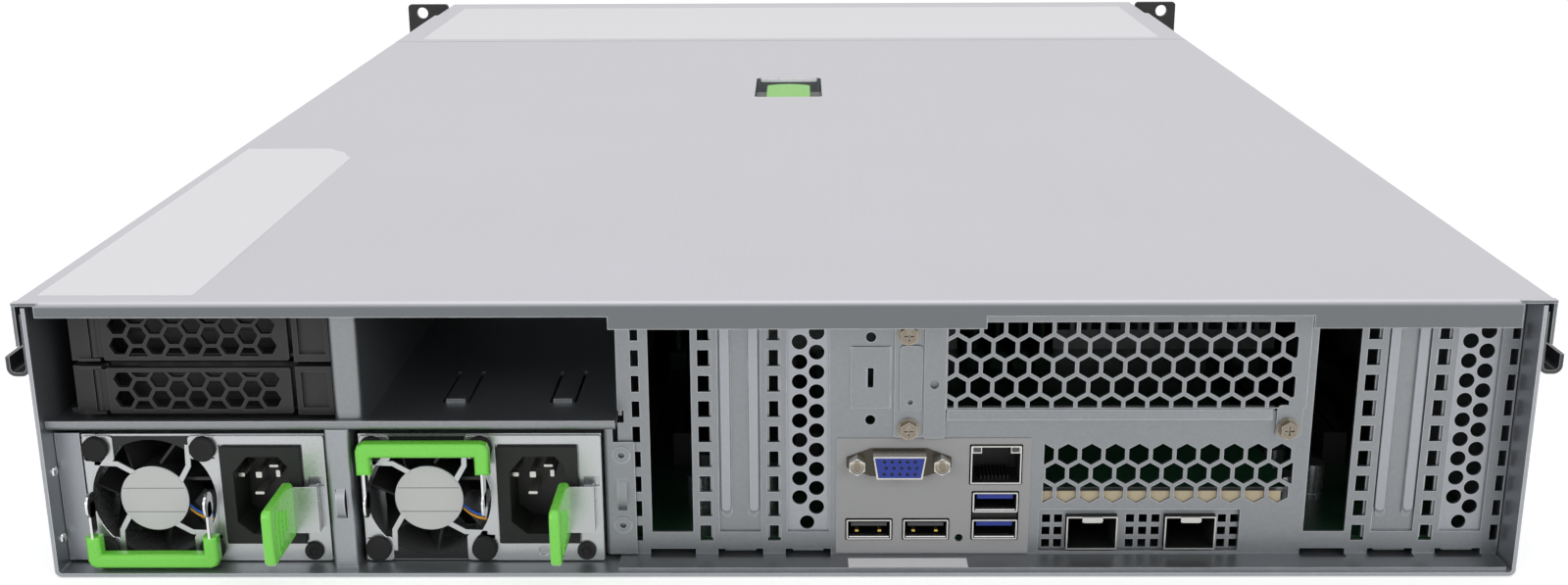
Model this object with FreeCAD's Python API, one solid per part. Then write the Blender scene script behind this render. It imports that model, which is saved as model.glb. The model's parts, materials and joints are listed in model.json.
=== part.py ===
"""Two-unit rack server with two hot-plug supplies, rear and front drive bays and a lift-off lid.

The model frame: +Z up, the rear panel faces -Y, the rack ears are at the +Y end, and +X is on the
right for someone who looks at the rear panel. While it is built, y = 0 is the rear edge of the pan
and z = 0 its underside. The last section moves everything so that the origin is the middle of the
footprint. All sizes are in millimetres.
"""

import FreeCAD, Part
import math
import os

# ---------------------------------------------------------------- driving dimensions
# Pan and lid
chassis_width = 431.8
chassis_depth = 690.0
body_height = 84.5
pan_gauge = 1.2
bend_radius = 0.8
lid_width = 438.5
lid_gauge = 1.0
lid_seam = 525.0
lid_skirt = 13.5
lid_flange_short = 4.4
lid_flange_tall = 8.1
lid_corner_gap = 7.0
lid_seam_gap = 0.8
top_clearance = 0.5

# Clearances
running_gap = 0.3
sliding_gap = 0.4
pin_gap = 0.05

# Rack ears
ear_span = 482.6
ear_height = 86.9
ear_plane = 675.0
ear_plate = 3.0
ear_grip_depth = 27.0
rack_hole_span = 465.1
rack_hole_rise = 76.2
rack_hole_radius = 3.5

# Slide rails on the outside of the pan
rail_gauge = 1.2
rail_bottom = 62.2
rail_height = 18.5
rail_hook_reach = 5.6
rail_hook_rise = 6.0
rail_length = 610.0

# Rear wall
wall_setback = 12.0
wall_gauge = 1.0
wall_lip = 10.5
slot_pitch = 20.32
slot_width = 12.4
slot_bottom = 9.3
slot_rise = 69.5
slots_per_group = 3
left_group_offset = 15.6
right_group_offset = 12.1
cover_gauge = 0.9
cover_margin = 2.6
rib_width = 2.8
rib_height = 0.7
rib_spread = 7.8
punch_width = 3.9
punch_height = 5.0
punch_pitch = 7.88
punch_rows = 9
narrow_punch = 2.3
tab_slot_width = 13.6
tab_slot_height = 2.6

# Hexagonal vents
hex_pitch = 7.005
hex_flat = 5.85
lower_vent_offset = 61.6
lower_vent_width = 73.8
lower_vent_middle = 27.9
lower_vent_rows = 3
upper_vent_left = 31.8
upper_vent_width = 102.6
upper_vent_bottom = 48.6
upper_vent_rise = 26.9

# Connectors, measured from the left edge of the connector panel and the pan's underside
io_offset = 8.3
io_width = 57.7
io_bottom = 2.6
io_rise = 36.6
io_gauge = 0.3
board_gauge = 1.6
board_bottom = 5.2
usb_width = 13.4
usb_height = 6.3
usb_left_x = 3.2
usb_right_x = 20.2
usb_stack_x = 40.8
usb_stack_rise = 8.7
port_wall = 0.4
port_depth = 16.0
port_proud = 0.5
lan_width = 15.0
lan_height = 12.0
lan_x = 39.9
lan_bottom = 24.9
vga_x = 18.6
vga_z = 31.8
vga_screw_spread = 25.0
vga_shell_width = 16.4
vga_shell_height = 7.9
id_hole_radius = 1.2
sfp_width = 15.2
sfp_height = 10.5
sfp_bottom = 3.7
sfp_pitch = 29.4
sfp_first = 8.4
sfp_window_width = 60.0
sfp_window_height = 13.4

# Power supplies
psu_side_gap = 7.9
psu_width = 71.6
psu_height = 40.2
psu_length = 185.0
psu_pitch = 81.7
psu_setback = 8.5
psu_lift = 0.4
face_gauge = 0.8
fan_square = 40.0
fan_mouth_radius = 18.4
fan_depth = 28.0
fan_hub_radius = 9.9
fan_hole_spread = 32.0
cap_radius = 3.7
cap_proud = 2.0
spoke_width = 1.6
inlet_width = 21.8
inlet_height = 30.8
inlet_x = 41.0
inlet_proud = 1.4
inlet_mouth_width = 15.2
inlet_mouth_height = 24.4
inlet_depth = 20.0
bail_width = 39.6
bail_reach = 19.6
bail_leg = 9.4
bail_bar = 4.8
bail_arm = 4.9
bail_depth = 5.2
strap_gauge = 0.8
strap_width = 4.4
pivot_radius = 1.2
latch_x = 60.6
latch_thickness = 3.2
latch_reach = 25.0
latch_height = 19.0
latch_bottom = 8.4
latch_strip_width = 9.0
latch_strip_gauge = 0.6
latch_travel = 2.0

# Shelf, dividers and the drive bays above the supplies
shelf_bottom = 44.8
shelf_hem = 3.1
shelf_setback = 3.0
shelf_depth = 190.0
bay_divider_width = 8.6
bay_depth = 160.0
rear_bay_width = 76.0
carrier_height = 14.7
carrier_pitch = 16.3
carrier_length = 112.0
carrier_frame = 2.6
door_length = 49.0
door_gauge = 2.0
door_pitch = 5.3
door_hex = 4.3
door_opening = 70.0
hinge_radius = 1.3

# Front drive cage
front_columns = 4
front_rows = 3
front_cage_depth = 158.0
cage_gauge = 1.0
front_carrier_length = 148.0
front_face_depth = 12.0
front_lever_gauge = 3.0
front_lever_share = 0.74
front_bezel_proud = 7.0

# Cooling and electronics
system_fans = 4
system_fan_size = 79.0
system_fan_bore = 37.6
system_fan_depth = 38.0
system_fan_y = 452.0
system_fan_hub = 18.0
shaft_radius = 2.0
shaft_reach = 14.0
psu_shaft_radius = 1.2
psu_fan_depth = 20.8
fan_blades = 7
tip_gap = 0.8
board_depth = 372.0
heatsink_size = 88.0
heatsink_height = 62.0
heatsink_fins = 14
module_length = 133.0
module_height = 31.0
module_pitch = 8.6
capacitor_radius = 4.0
capacitor_height = 11.5

# Lid latch
latch_pocket_width = 31.0
latch_pocket_length = 54.0
latch_pocket_depth = 7.0
latch_pocket_y = 342.0
button_width = 20.4
button_length = 40.0
button_travel = 3.0

# Screws
screw_flange_radius = 3.3
screw_head_radius = 2.4
screw_head_height = 2.6
shank_radius = 1.4

# ---------------------------------------------------------------- places that follow from them
inner = chassis_width / 2 - pan_gauge
floor = pan_gauge
lid_underside = body_height - lid_gauge
wall_top = lid_underside - top_clearance
psu_bottom = floor + psu_lift
psu_middle = psu_bottom + psu_height / 2
psu_lefts = [-inner + psu_side_gap + i * psu_pitch for i in range(2)]
psu_bay_right = psu_lefts[-1] + psu_width
wall_left = psu_bay_right + 4.8
left_slots = [wall_left + left_group_offset + i * slot_pitch for i in range(slots_per_group)]
right_slots = [inner - right_group_offset - (slots_per_group - 1 - i) * slot_pitch
               for i in range(slots_per_group)]
io_left = left_slots[-1] + io_offset
wall_face = wall_setback
wall_back = wall_setback + wall_gauge
board_top = board_bottom + board_gauge
vent_left = io_left + lower_vent_offset
upper_left = io_left + upper_vent_left
sfp_left = vent_left - 0.9
shelf_top = shelf_bottom + pan_gauge
divider_left = -inner + psu_side_gap + rear_bay_width
divider_right = divider_left + bay_divider_width
front_face = ear_plane + 22.0

X, Y, Z = FreeCAD.Vector(1, 0, 0), FreeCAD.Vector(0, 1, 0), FreeCAD.Vector(0, 0, 1)
PLANES = {
    "xz": (lambda u, v, w: FreeCAD.Vector(u, w, v), Y),
    "yz": (lambda u, v, w: FreeCAD.Vector(w, u, v), X),
    "xy": (lambda u, v, w: FreeCAD.Vector(u, v, w), Z),
}


# ---------------------------------------------------------------- shape helpers
def box(x, y, z):
    """Block between pairs of x, y and z."""
    return Part.makeBox(x[1] - x[0], y[1] - y[0], z[1] - z[0], FreeCAD.Vector(x[0], y[0], z[0]))


def rod(radius, start, end):
    """Cylinder from one point to another."""
    a, b = FreeCAD.Vector(*start), FreeCAD.Vector(*end)
    return Part.makeCylinder(radius, (b - a).Length, a, b - a)


def polygon(points):
    """Closed outline through (u, v) points."""
    return [("line", points[i], points[(i + 1) % len(points)]) for i in range(len(points))]


def circle(u, v, radius):
    return [("circle", (u, v), radius)]


def rounded(u, v, radius):
    """Rectangle with rounded corners, from pairs of u and v."""
    edges = []
    corners = [(u[0], v[0], -1, -1), (u[1], v[0], 1, -1), (u[1], v[1], 1, 1), (u[0], v[1], -1, 1)]
    ends = []
    for cu, cv, su, sv in corners:
        mid_u, mid_v = cu - su * radius, cv - sv * radius
        diagonal = radius * math.sqrt(0.5)
        first, last = (mid_u, cv), (cu, mid_v)
        if su * sv > 0:
            first, last = last, first
        ends.append((first, (mid_u + su * diagonal, mid_v + sv * diagonal), last))
    for i in range(4):
        first, middle, last = ends[i]
        edges.append(("arc", first, middle, last))
        following = ends[(i + 1) % 4][0]
        if math.dist(last, following) > 1e-6:
            edges.append(("line", last, following))
    return edges


def wire(outline, plane, w):
    """Wire of an outline at distance w along the plane's normal."""
    place = PLANES[plane][0]
    edges = []
    for edge in outline:
        if edge[0] == "circle":
            (u, v), radius = edge[1], edge[2]
            edges.append(Part.makeCircle(radius, place(u, v, w), PLANES[plane][1]))
        elif edge[0] == "line":
            edges.append(Part.makeLine(place(*edge[1], w), place(*edge[2], w)))
        else:
            edges.append(Part.Arc(*[place(*p, w) for p in edge[1:]]).toShape())
    return Part.Wire(edges)


def plate(outline, plane, start, end, holes=()):
    """Flat piece of an outline with holes, from start to end along the plane's normal."""
    wires = [wire(o, plane, start) for o in [outline, *holes]]
    face = Part.makeFace(wires, "Part::FaceMakerBullseye")
    return face.extrude(PLANES[plane][1] * (end - start))


def bent_outline(points, gauge, bend):
    """Outline of sheet metal that follows a centreline, with that inside radius at each bend."""
    steps = []
    for a, b in zip(points, points[1:]):
        length = math.dist(a, b)
        steps.append(((b[0] - a[0]) / length, (b[1] - a[1]) / length))
    sides = []
    for side in (1, -1):
        chain = []
        last = None
        for i, (du, dv) in enumerate(steps):
            shift = (-dv * side * gauge / 2, du * side * gauge / 2)
            if i == 0:
                last = (points[0][0] + shift[0], points[0][1] + shift[1])
            if i == len(steps) - 1:
                chain.append(("line", last, (points[-1][0] + shift[0], points[-1][1] + shift[1])))
                continue
            nu, nv = steps[i + 1]
            corner = points[i + 1]
            cross = du * nv - dv * nu
            turn = math.atan2(abs(cross), du * nu + dv * nv)
            left = 1 if cross > 0 else -1
            middle_radius = bend + gauge / 2
            back = middle_radius * math.tan(turn / 2)
            enter = (corner[0] - du * back, corner[1] - dv * back)
            centre = (enter[0] - dv * left * middle_radius, enter[1] + du * left * middle_radius)
            radius = middle_radius - left * side * gauge / 2
            to_corner = (corner[0] - centre[0], corner[1] - centre[1])
            reach = math.hypot(*to_corner)
            first = (enter[0] + shift[0], enter[1] + shift[1])
            middle = (centre[0] + to_corner[0] / reach * radius, centre[1] + to_corner[1] / reach * radius)
            leave = (corner[0] + nu * back, corner[1] + nv * back)
            final = (leave[0] - nv * side * gauge / 2, leave[1] + nu * side * gauge / 2)
            chain.append(("line", last, first))
            chain.append(("arc", first, middle, final))
            last = final
        sides.append(chain)
    flipped = []
    for edge in reversed(sides[1]):
        flipped.append((edge[0], *reversed(edge[1:])))
    outline = [*sides[0], ("line", sides[0][-1][-1], flipped[0][1]), *flipped]
    return [*outline, ("line", flipped[-1][-1], sides[0][0][1])]


def bent_sheet(points, gauge, plane, start, end, bend=bend_radius):
    return plate(bent_outline(points, gauge, bend), plane, start, end)


def fuse(shapes):
    first, *rest = shapes
    return first.fuse(rest).removeSplitter() if rest else first


def cut(shape, tools):
    return shape.cut(tools) if tools else shape


def clipped(points, u, v):
    """Polygon cut to the window between pairs of u and v, as a list of points."""
    tests = [(0, u[0], 1), (0, u[1], -1), (1, v[0], 1), (1, v[1], -1)]
    for axis, limit, sign in tests:
        kept = []
        for i, point in enumerate(points):
            before = points[i - 1]
            inside = (point[axis] - limit) * sign >= 0
            was_inside = (before[axis] - limit) * sign >= 0
            if inside != was_inside:
                share = (limit - before[axis]) / (point[axis] - before[axis])
                kept.append(tuple(before[k] + share * (point[k] - before[k]) for k in (0, 1)))
            if inside:
                kept.append(point)
        points = kept
    return points


def hexagon(u, v, flat):
    """Six points of a hexagon that stands on a corner, by its width across the flats."""
    corner = flat / math.sqrt(3)
    return [(u + corner * math.sin(i * math.pi / 3), v + corner * math.cos(i * math.pi / 3))
            for i in range(6)]


def hex_field(u, v, pitch, flat, anchor):
    """Hexagonal holes that fill the window between pairs of u and v, in step with the anchor point."""
    rise = pitch * math.sqrt(3) / 2
    smallest = 0.12 * flat * flat
    holes = []
    first_row = math.ceil((v[0] - anchor[1] - flat / 2) / rise)
    last_row = math.floor((v[1] - anchor[1] + flat / 2) / rise)
    for row in range(first_row, last_row + 1):
        shift = anchor[0] + (row % 2) * pitch / 2
        first = math.ceil((u[0] - shift - flat / 2) / pitch)
        last = math.floor((u[1] - shift + flat / 2) / pitch)
        for column in range(first, last + 1):
            points = clipped(hexagon(shift + column * pitch, anchor[1] + row * rise, flat), u, v)
            if len(points) > 2 and area(points) > smallest:
                holes.append(polygon(points))
    return holes


def area(points):
    return abs(sum(points[i - 1][0] * p[1] - p[0] * points[i - 1][1] for i, p in enumerate(points))) / 2


def rotor(centre, y, depth, hub_radius, tip_radius, bore, bore_depth):
    """Axial fan wheel about a line along y: hub, cambered blades and a blind bore for its shaft.

    A positive bore depth opens at the wheel's rear side, a negative one at its far side.
    """
    cx, cz = centre
    hub = rod(hub_radius, (cx, y, cz), (cx, y + depth, cz))
    chord = 2 * math.pi * tip_radius / fan_blades * 0.62
    blade_gauge = tip_radius * 0.05
    profile = [(y + depth * 0.92, -chord / 2), (y + depth * 0.6, chord * 0.06), (y + depth * 0.08, chord / 2)]
    blade = bent_sheet(profile, blade_gauge, "yz", hub_radius * 0.9, tip_radius * 1.05, tip_radius * 0.3)
    wheel = [hub]
    for i in range(fan_blades):
        turned = blade.copy()
        turned.rotate(FreeCAD.Vector(0, 0, 0), Y, i * 360 / fan_blades)
        turned.translate(FreeCAD.Vector(cx, 0, cz))
        wheel.append(turned)
    trimmed = fuse(wheel).common(rod(tip_radius, (cx, y, cz), (cx, y + depth, cz)))
    mouth, end = (y - 1, y + bore_depth) if bore_depth > 0 else (y + depth + 1, y + depth + bore_depth)
    return trimmed.cut(rod(bore, (cx, mouth, cz), (cx, end, cz)))


nodes = {}


def add(name, *shapes):
    """Keeps one node, as one solid or as a group of separate ones."""
    nodes[name] = shapes[0] if len(shapes) == 1 else Part.makeCompound(list(shapes))


# ---------------------------------------------------------------- pan
def make_pan():
    middle = pan_gauge / 2
    side = chassis_width / 2 - middle
    path = [(-side, wall_top), (-side, middle), (side, middle), (side, wall_top)]
    pan = bent_sheet(path, pan_gauge, "xz", 0, chassis_depth)
    board_left, board_right = wall_left + 3, inner - 3
    bosses = []
    for x in (board_left + 8, board_right - 8):
        for y in (wall_back + 14, wall_back + board_depth / 2, wall_back + board_depth - 14):
            bosses.append(Part.makeCone(5.5, 4.0, board_bottom - floor, FreeCAD.Vector(x, y, floor)))
    return fuse([pan, *bosses])


add("chassis_pan", make_pan())


# ---------------------------------------------------------------- rear wall
def slot_z():
    return slot_bottom, slot_bottom + slot_rise


def punch_columns():
    """(x, width) of each column of square vents beside the card slots."""
    half = slot_pitch / 2
    found = []
    for group, narrow_end in ((left_slots, 0), (right_slots, slots_per_group)):
        places = [group[0] - half] + [x + half for x in group]
        kept = places[:-1] if narrow_end == 0 else places[1:]
        for x in kept:
            is_end = x == (places[0] if narrow_end == 0 else places[-1])
            found.append((x, narrow_punch if is_end else punch_width))
    return found


def port_windows():
    """Outlines of the holes that the connectors reach through."""
    gap = sliding_gap
    windows = []
    for x in (usb_left_x, usb_right_x):
        windows.append(((io_left + x, usb_width), (board_top + 0.3, usb_height)))
    windows.append(((io_left + usb_stack_x, usb_width), (board_top + 0.3, usb_stack_rise + usb_height)))
    windows.append(((io_left + lan_x, lan_width), (lan_bottom, lan_height)))
    shell_left = io_left + vga_x - vga_shell_width / 2
    windows.append(((shell_left, vga_shell_width), (vga_z - vga_shell_height / 2, vga_shell_height)))
    outlines = []
    for (x, width), (z, height) in windows:
        outlines.append(rounded((x - gap, x + width + gap), (z - gap, z + height + gap), 0.5))
    return outlines


def make_rear_wall():
    holes = []
    for x in left_slots + right_slots:
        holes.append(polygon([(x - slot_width / 2, slot_z()[0]), (x + slot_width / 2, slot_z()[0]),
                              (x + slot_width / 2, slot_z()[1]), (x - slot_width / 2, slot_z()[1])]))
    for x, width in punch_columns():
        for row in range(punch_rows):
            z = slot_bottom - 0.4 + row * punch_pitch
            holes.append(polygon([(x - width / 2, z - punch_height / 2), (x + width / 2, z - punch_height / 2),
                                  (x + width / 2, z + punch_height / 2), (x - width / 2, z + punch_height / 2)]))
    holes += port_windows()
    rise = hex_pitch * math.sqrt(3) / 2
    vent_z = (lower_vent_middle - rise - hex_flat * 0.6, lower_vent_middle + rise + hex_flat * 0.6)
    holes += hex_field((vent_left, vent_left + lower_vent_width), vent_z, hex_pitch, hex_flat,
                       (vent_left + 3.5, lower_vent_middle))
    holes.append(rounded((sfp_left, sfp_left + sfp_window_width),
                         (sfp_bottom - 0.7, sfp_bottom - 0.7 + sfp_window_height), 0.4))
    holes.append(rounded((upper_left, upper_left + upper_vent_width),
                         (upper_vent_bottom - 1, upper_vent_bottom + upper_vent_rise), 0.5))
    key_x = io_left + 10.0
    for z in (44.9, 70.4):
        holes.append(circle(key_x, z, 1.5))
    holes.append(polygon([(key_x - 0.9, 55.2), (key_x + 0.9, 55.2), (key_x + 0.9, 61.9), (key_x - 0.9, 61.9)]))
    holes.append(circle(io_left + 36.9, board_top + 0.6, id_hole_radius))
    for x, z in screw_places():
        holes.append(circle(x, z, shank_radius + sliding_gap / 2))
    notch = 1.9
    wall_right = inner - running_gap
    edge = [(wall_left, shelf_top + notch), (wall_left, wall_top), (wall_right, wall_top),
            (wall_right, floor + bend_radius), (wall_right - bend_radius, floor), (wall_left, floor),
            (wall_left, shelf_top - notch),
            (wall_left + notch, shelf_top - notch), (wall_left + notch, shelf_top + notch)]
    upright = plate(polygon(edge), "xz", wall_face, wall_back, holes)
    lip = box((wall_left, wall_right - bend_radius), (wall_face - wall_lip, wall_back),
              (floor, floor + wall_gauge))
    tabs = []
    for x in left_slots + right_slots:
        half = tab_slot_width / 2
        tabs.append(box((x - half, x + half), (wall_face - 3, wall_back + 1),
                        (floor - 1, floor + tab_slot_height)))
    key_plate = box((key_x - 5.9, key_x + 5.9), (wall_face - 0.5, wall_face), (48.6, 67.6))
    key_plate = key_plate.cut(box((key_x - 0.9, key_x + 0.9), (wall_face - 1, wall_face), (55.2, 61.9)))
    return cut(fuse([upright, lip, key_plate]), tabs)


def screw_places():
    """Centres of the three flanged screws that hold the upper vent cover."""
    right = upper_left + upper_vent_width - 1.8
    return [(upper_left - 10.9, 71.6), (upper_left - 10.6, 42.4), (right, 42.4)]


def make_upper_cover():
    """Removable vent cover above the connectors: hexagonal field, turned lower edge and side strip."""
    left, right = upper_left, upper_left + upper_vent_width
    z = (upper_vent_bottom, upper_vent_bottom + upper_vent_rise)
    window = (left + 0.6, right - 0.6)
    rise = hex_pitch * math.sqrt(3) / 2
    anchor = (left + 17.2, z[0] + 0.6 + rise)
    holes = hex_field(window, (z[0] + 0.3, z[1] - 0.4), hex_pitch, hex_flat, anchor)
    margin = 3.2
    front = wall_face - wall_gauge
    outline = polygon([(left - 1, z[0]), (right + margin, z[0]), (right + margin, wall_top - 1),
                       (left - 1, wall_top - 1)])
    field = plate(outline, "xz", front, wall_face, holes)
    turned = bent_sheet([(front + 0.45, z[0] + 0.5), (wall_face + 0.6, z[0] - 2.4)], 0.9, "yz",
                        left - 1, right - 6)
    turned = turned.cut(box((left - 2, right), (wall_face, wall_back + 5), (z[0] - 8, z[0] + 5)))
    strip_z = (io_bottom + io_rise + 0.4, wall_top - 1)
    strip = plate(rounded((left - 6.3, left + 0.2), strip_z, 0.8), "xz", front - 0.6, wall_face,
                  [circle(left - 3.2, 56.3, 1.3)])
    ear = plate(rounded((screw_places()[2][0] - 3.4, screw_places()[2][0] + 4.2), (39.4, z[0] + 1), 1.5),
                "xz", front, wall_face, [circle(*screw_places()[2], shank_radius + sliding_gap / 2)])
    side = plate(rounded((screw_places()[0][0] - 4.0, left - 6.0), (strip_z[0], wall_top - 4), 1.2), "xz",
                 front + 0.2, wall_face,
                 [circle(*place, shank_radius + sliding_gap / 2) for place in screw_places()[:2]]
                 + [circle(screw_places()[0][0] + 0.9, 50.8, 0.9)])
    return fuse([field, turned, strip, ear, side])


def make_cover(x, ribbed):
    """Blank bracket behind one card slot, ribbed or perforated, with its foot in the tab slot."""
    half = slot_width / 2 + cover_margin
    z = (floor + wall_gauge + 0.6, wall_top - 0.6)
    front, back = wall_back, wall_back + cover_gauge
    holes = []
    if not ribbed:
        pitch, spread = 6.08, 2.5
        for side, first, count in ((-1, 20.0, 9), (1, 16.9, 10)):
            for i in range(count):
                if first + i * pitch < z[1] - 3:
                    holes.append(circle(x + side * spread, first + i * pitch, 2.3))
        holes.append(circle(x - 0.3, 12.0, 2.2))
    face = plate(polygon([(x - half, slot_bottom - 2.2), (x + half, slot_bottom - 2.2),
                          (x + half, z[1]), (x - half, z[1])]), "xz", front, back, holes)
    foot_half = tab_slot_width / 2 - 2.2
    pieces = [face, box((x - foot_half, x + foot_half), (front, back), (z[0], slot_bottom))]
    if ribbed:
        for side in (-1, 1):
            middle = x + side * rib_spread / 2
            rib = plate(rounded((middle - rib_width / 2, middle + rib_width / 2),
                                (slot_bottom + 4.8, slot_z()[1] - running_gap), rib_width / 2 - 0.01),
                        "xz", front - rib_height, front)
            pieces.append(rib)
    return fuse(pieces)


def make_screw(x, z, front):
    """Screw with a flange, hexagonal head and crossed recess."""
    flange = rod(screw_flange_radius, (x, front - 0.7, z), (x, front, z))
    head = plate(polygon(hexagon(x, z, screw_head_radius * 2)), "xz", front - screw_head_height, front)
    shank = rod(shank_radius, (x, front, z), (x, front + 5, z))
    whole = fuse([flange, head, shank])
    slots = [box((x - 1.5, x + 1.5), (front - 4, front - screw_head_height + 0.9), (z - 0.3, z + 0.3)),
             box((x - 0.3, x + 0.3), (front - 4, front - screw_head_height + 0.9), (z - 1.5, z + 1.5))]
    return cut(whole, slots)


add("rear_wall", make_rear_wall())
add("upper_vent_cover", make_upper_cover())
add("ribbed_slot_covers", make_cover(left_slots[1], True), make_cover(right_slots[1], True))
add("perforated_slot_covers", make_cover(left_slots[2], False), make_cover(right_slots[2], False))
screw_fronts = [wall_face - wall_gauge + 0.2, wall_face - wall_gauge + 0.2, wall_face - wall_gauge]
add("flange_screws", *[make_screw(x, z, f) for (x, z), f in zip(screw_places(), screw_fronts)])


# ---------------------------------------------------------------- connectors
def open_shell(x, z, width, height, depth=port_depth):
    """Connector shell open to the rear, with its tongue or contact block as part of it."""
    front = wall_face - io_gauge - port_proud
    shell = plate(rounded((x, x + width), (z, z + height), 0.4), "xz", front, front + depth)
    mouth = box((x + port_wall, x + width - port_wall), (front - 1, front + depth - 3),
                (z + port_wall, z + height - port_wall))
    return shell.cut(mouth)


def usb_tongue(x, z, top):
    front = wall_face + 1.0
    height = 1.9
    z0 = z + usb_height - port_wall - height - 0.2 if top else z + port_wall + 0.6
    return box((x + 1.3, x + usb_width - 1.3), (front, front + port_depth - 4), (z0, z0 + height))


def make_usb(x, stacked):
    z = board_top + 0.3
    pieces = [open_shell(io_left + x, z, usb_width, usb_height), usb_tongue(io_left + x, z, True)]
    if stacked:
        upper = z + usb_stack_rise
        pieces += [open_shell(io_left + x, upper, usb_width, usb_height),
                   usb_tongue(io_left + x, upper, True)]
        front = wall_face
        pieces.append(box((io_left + x, io_left + x + usb_width), (front + 1, front + port_depth - 2),
                          (z + usb_height - 0.1, upper + 0.1)))
    pieces.append(box((io_left + x + 1, io_left + x + usb_width - 1), (wall_face + 4, wall_face + 14),
                      (board_top, z + 0.1)))
    return fuse(pieces)


def make_lan():
    x = io_left + lan_x
    shell = open_shell(x, lan_bottom, lan_width, lan_height)
    front = wall_face - port_proud
    steps = [box((x + port_wall, x + 3.2), (front, front + 10), (lan_bottom + lan_height - 2.4,
                                                                lan_bottom + lan_height - 0.2)),
             box((x + lan_width - 3.2, x + lan_width - port_wall), (front, front + 10),
                 (lan_bottom + lan_height - 2.4, lan_bottom + lan_height - 0.2))]
    pins = []
    for i in range(8):
        px = x + 3.2 + i * 1.15
        pins.append(box((px, px + 0.4), (front + 3, front + 12), (lan_bottom + 0.3, lan_bottom + 1.4)))
    usb_top = board_top + 0.3 + usb_stack_rise + usb_height
    stand = box((x + 1, x + lan_width - 1), (wall_face + 2, wall_face + 13), (usb_top, lan_bottom + 0.1))
    return fuse([shell, stand, *steps, *pins])


def d_outline(x, z, width, height, slant=1.1):
    """Outline of a D-shaped connector, wider at its top."""
    return polygon([(x - width / 2 + slant, z - height / 2), (x + width / 2 - slant, z - height / 2),
                    (x + width / 2, z + height / 2), (x - width / 2, z + height / 2)])


def make_vga():
    """Stamped flange with pointed ends, D-shaped shell, two hexagonal jack posts and a solid body."""
    x, z = io_left + vga_x, vga_z
    face = wall_face - io_gauge
    tip, half = vga_screw_spread / 2 + 3.0, vga_shell_height / 2 + 0.4
    flange = plate(polygon([(x - tip, z - 1.6), (x - vga_shell_width / 2, z - half),
                            (x + vga_shell_width / 2, z - half), (x + tip, z - 1.6), (x + tip, z + 1.6),
                            (x + vga_shell_width / 2, z + half), (x - vga_shell_width / 2, z + half),
                            (x - tip, z + 1.6)]), "xz", face - 0.5, face)
    width, height = vga_shell_width - 0.8, vga_shell_height - 0.8
    shell = plate(d_outline(x, z, width, height), "xz", face - 5.4, face + 3,
                  [d_outline(x, z, width - 0.9, height - 0.9)])
    insert = plate(d_outline(x, z, width - 1.0, height - 1.0), "xz", face - 4.6, face + port_depth + 4)
    posts = []
    for side in (-1, 1):
        px = x + side * vga_screw_spread / 2
        post = plate(polygon(hexagon(px, z, 4.6)), "xz", face - 4.6, face - 0.5)
        posts.append(post.cut(rod(1.3, (px, face - 6, z), (px, face - 1.5, z))))
    stand = box((x - 7, x + 7), (face + port_depth, face + port_depth + 4), (board_top, z - 2))
    return fuse([flange, shell, insert, stand, *posts])


def make_io_panel():
    """Thin printed sheet on the rear wall, cut out round the connectors."""
    x = (io_left, io_left + io_width)
    z = (io_bottom, io_bottom + io_rise)
    holes = port_windows() + [circle(io_left + 36.9, board_top + 0.6, id_hole_radius)]
    cut_holes = [h for h in holes]
    return plate(rounded(x, z, 0.5), "xz", wall_face - io_gauge, wall_face, cut_holes)


def make_sfp_card():
    """Network card behind its window: small board, perforated bracket and the plate of cage mouths."""
    front = wall_back + 0.6
    back = front + 0.8
    x = (sfp_left - 2, sfp_left + sfp_window_width + 2)
    z = (floor + wall_gauge + 0.4, sfp_bottom + sfp_window_height + 1)
    holes = []
    for i in range(2):
        left = sfp_left + sfp_first + i * sfp_pitch
        holes.append(rounded((left - 0.2, left + sfp_width + 0.2), (sfp_bottom - 0.2, sfp_bottom + sfp_height + 0.2), 0.3))
    squares = {0: [-7.2, -3.6], 1: [-11.4, -7.6, -3.8], 2: [0.9, 4.6]}
    starts = [sfp_left + sfp_first, sfp_left + sfp_first + sfp_pitch, sfp_left + sfp_first + sfp_pitch + sfp_width]
    for group, offsets in squares.items():
        for offset in offsets:
            for row in range(3):
                left = starts[group] + offset
                bottom = sfp_bottom - 0.1 + row * 4.0
                holes.append(polygon([(left, bottom), (left + 2.5, bottom), (left + 2.5, bottom + 2.6),
                                      (left, bottom + 2.6)]))
    bracket = plate(rounded(x, z, 0.5), "xz", front, back, holes)
    board_z = z[1] + 2.4
    board = box((x[0] + 1, x[1] + 12), (front + 2, front + 92), (board_z, board_z + board_gauge))
    tab = box((x[0] + 1, x[0] + 9), (front, front + 6), (z[1] - 0.2, board_z + 0.1))
    posts = [rod(3, (px, front + 80, board_top), (px, front + 80, board_z + 0.1)) for px in (x[0] + 8, x[1] + 5)]
    return fuse([bracket, board, tab, *posts])


def make_sfp_cage(left):
    """Pressed cage, open to the rear, with its latch lip over the mouth."""
    front = wall_face - 0.6
    back = wall_back + 48
    body = box((left, left + sfp_width), (front, back), (sfp_bottom, sfp_bottom + sfp_height))
    mouth = box((left + port_wall, left + sfp_width - port_wall), (front - 1, back - 1),
                (sfp_bottom + port_wall, sfp_bottom + sfp_height - port_wall))
    lip_x = left + sfp_width / 2
    lip = box((lip_x - 3, lip_x + 3), (front - 0.5, front), (sfp_bottom + sfp_height - 1.6,
                                                            sfp_bottom + sfp_height))
    return fuse([body.cut(mouth), lip])


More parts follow.
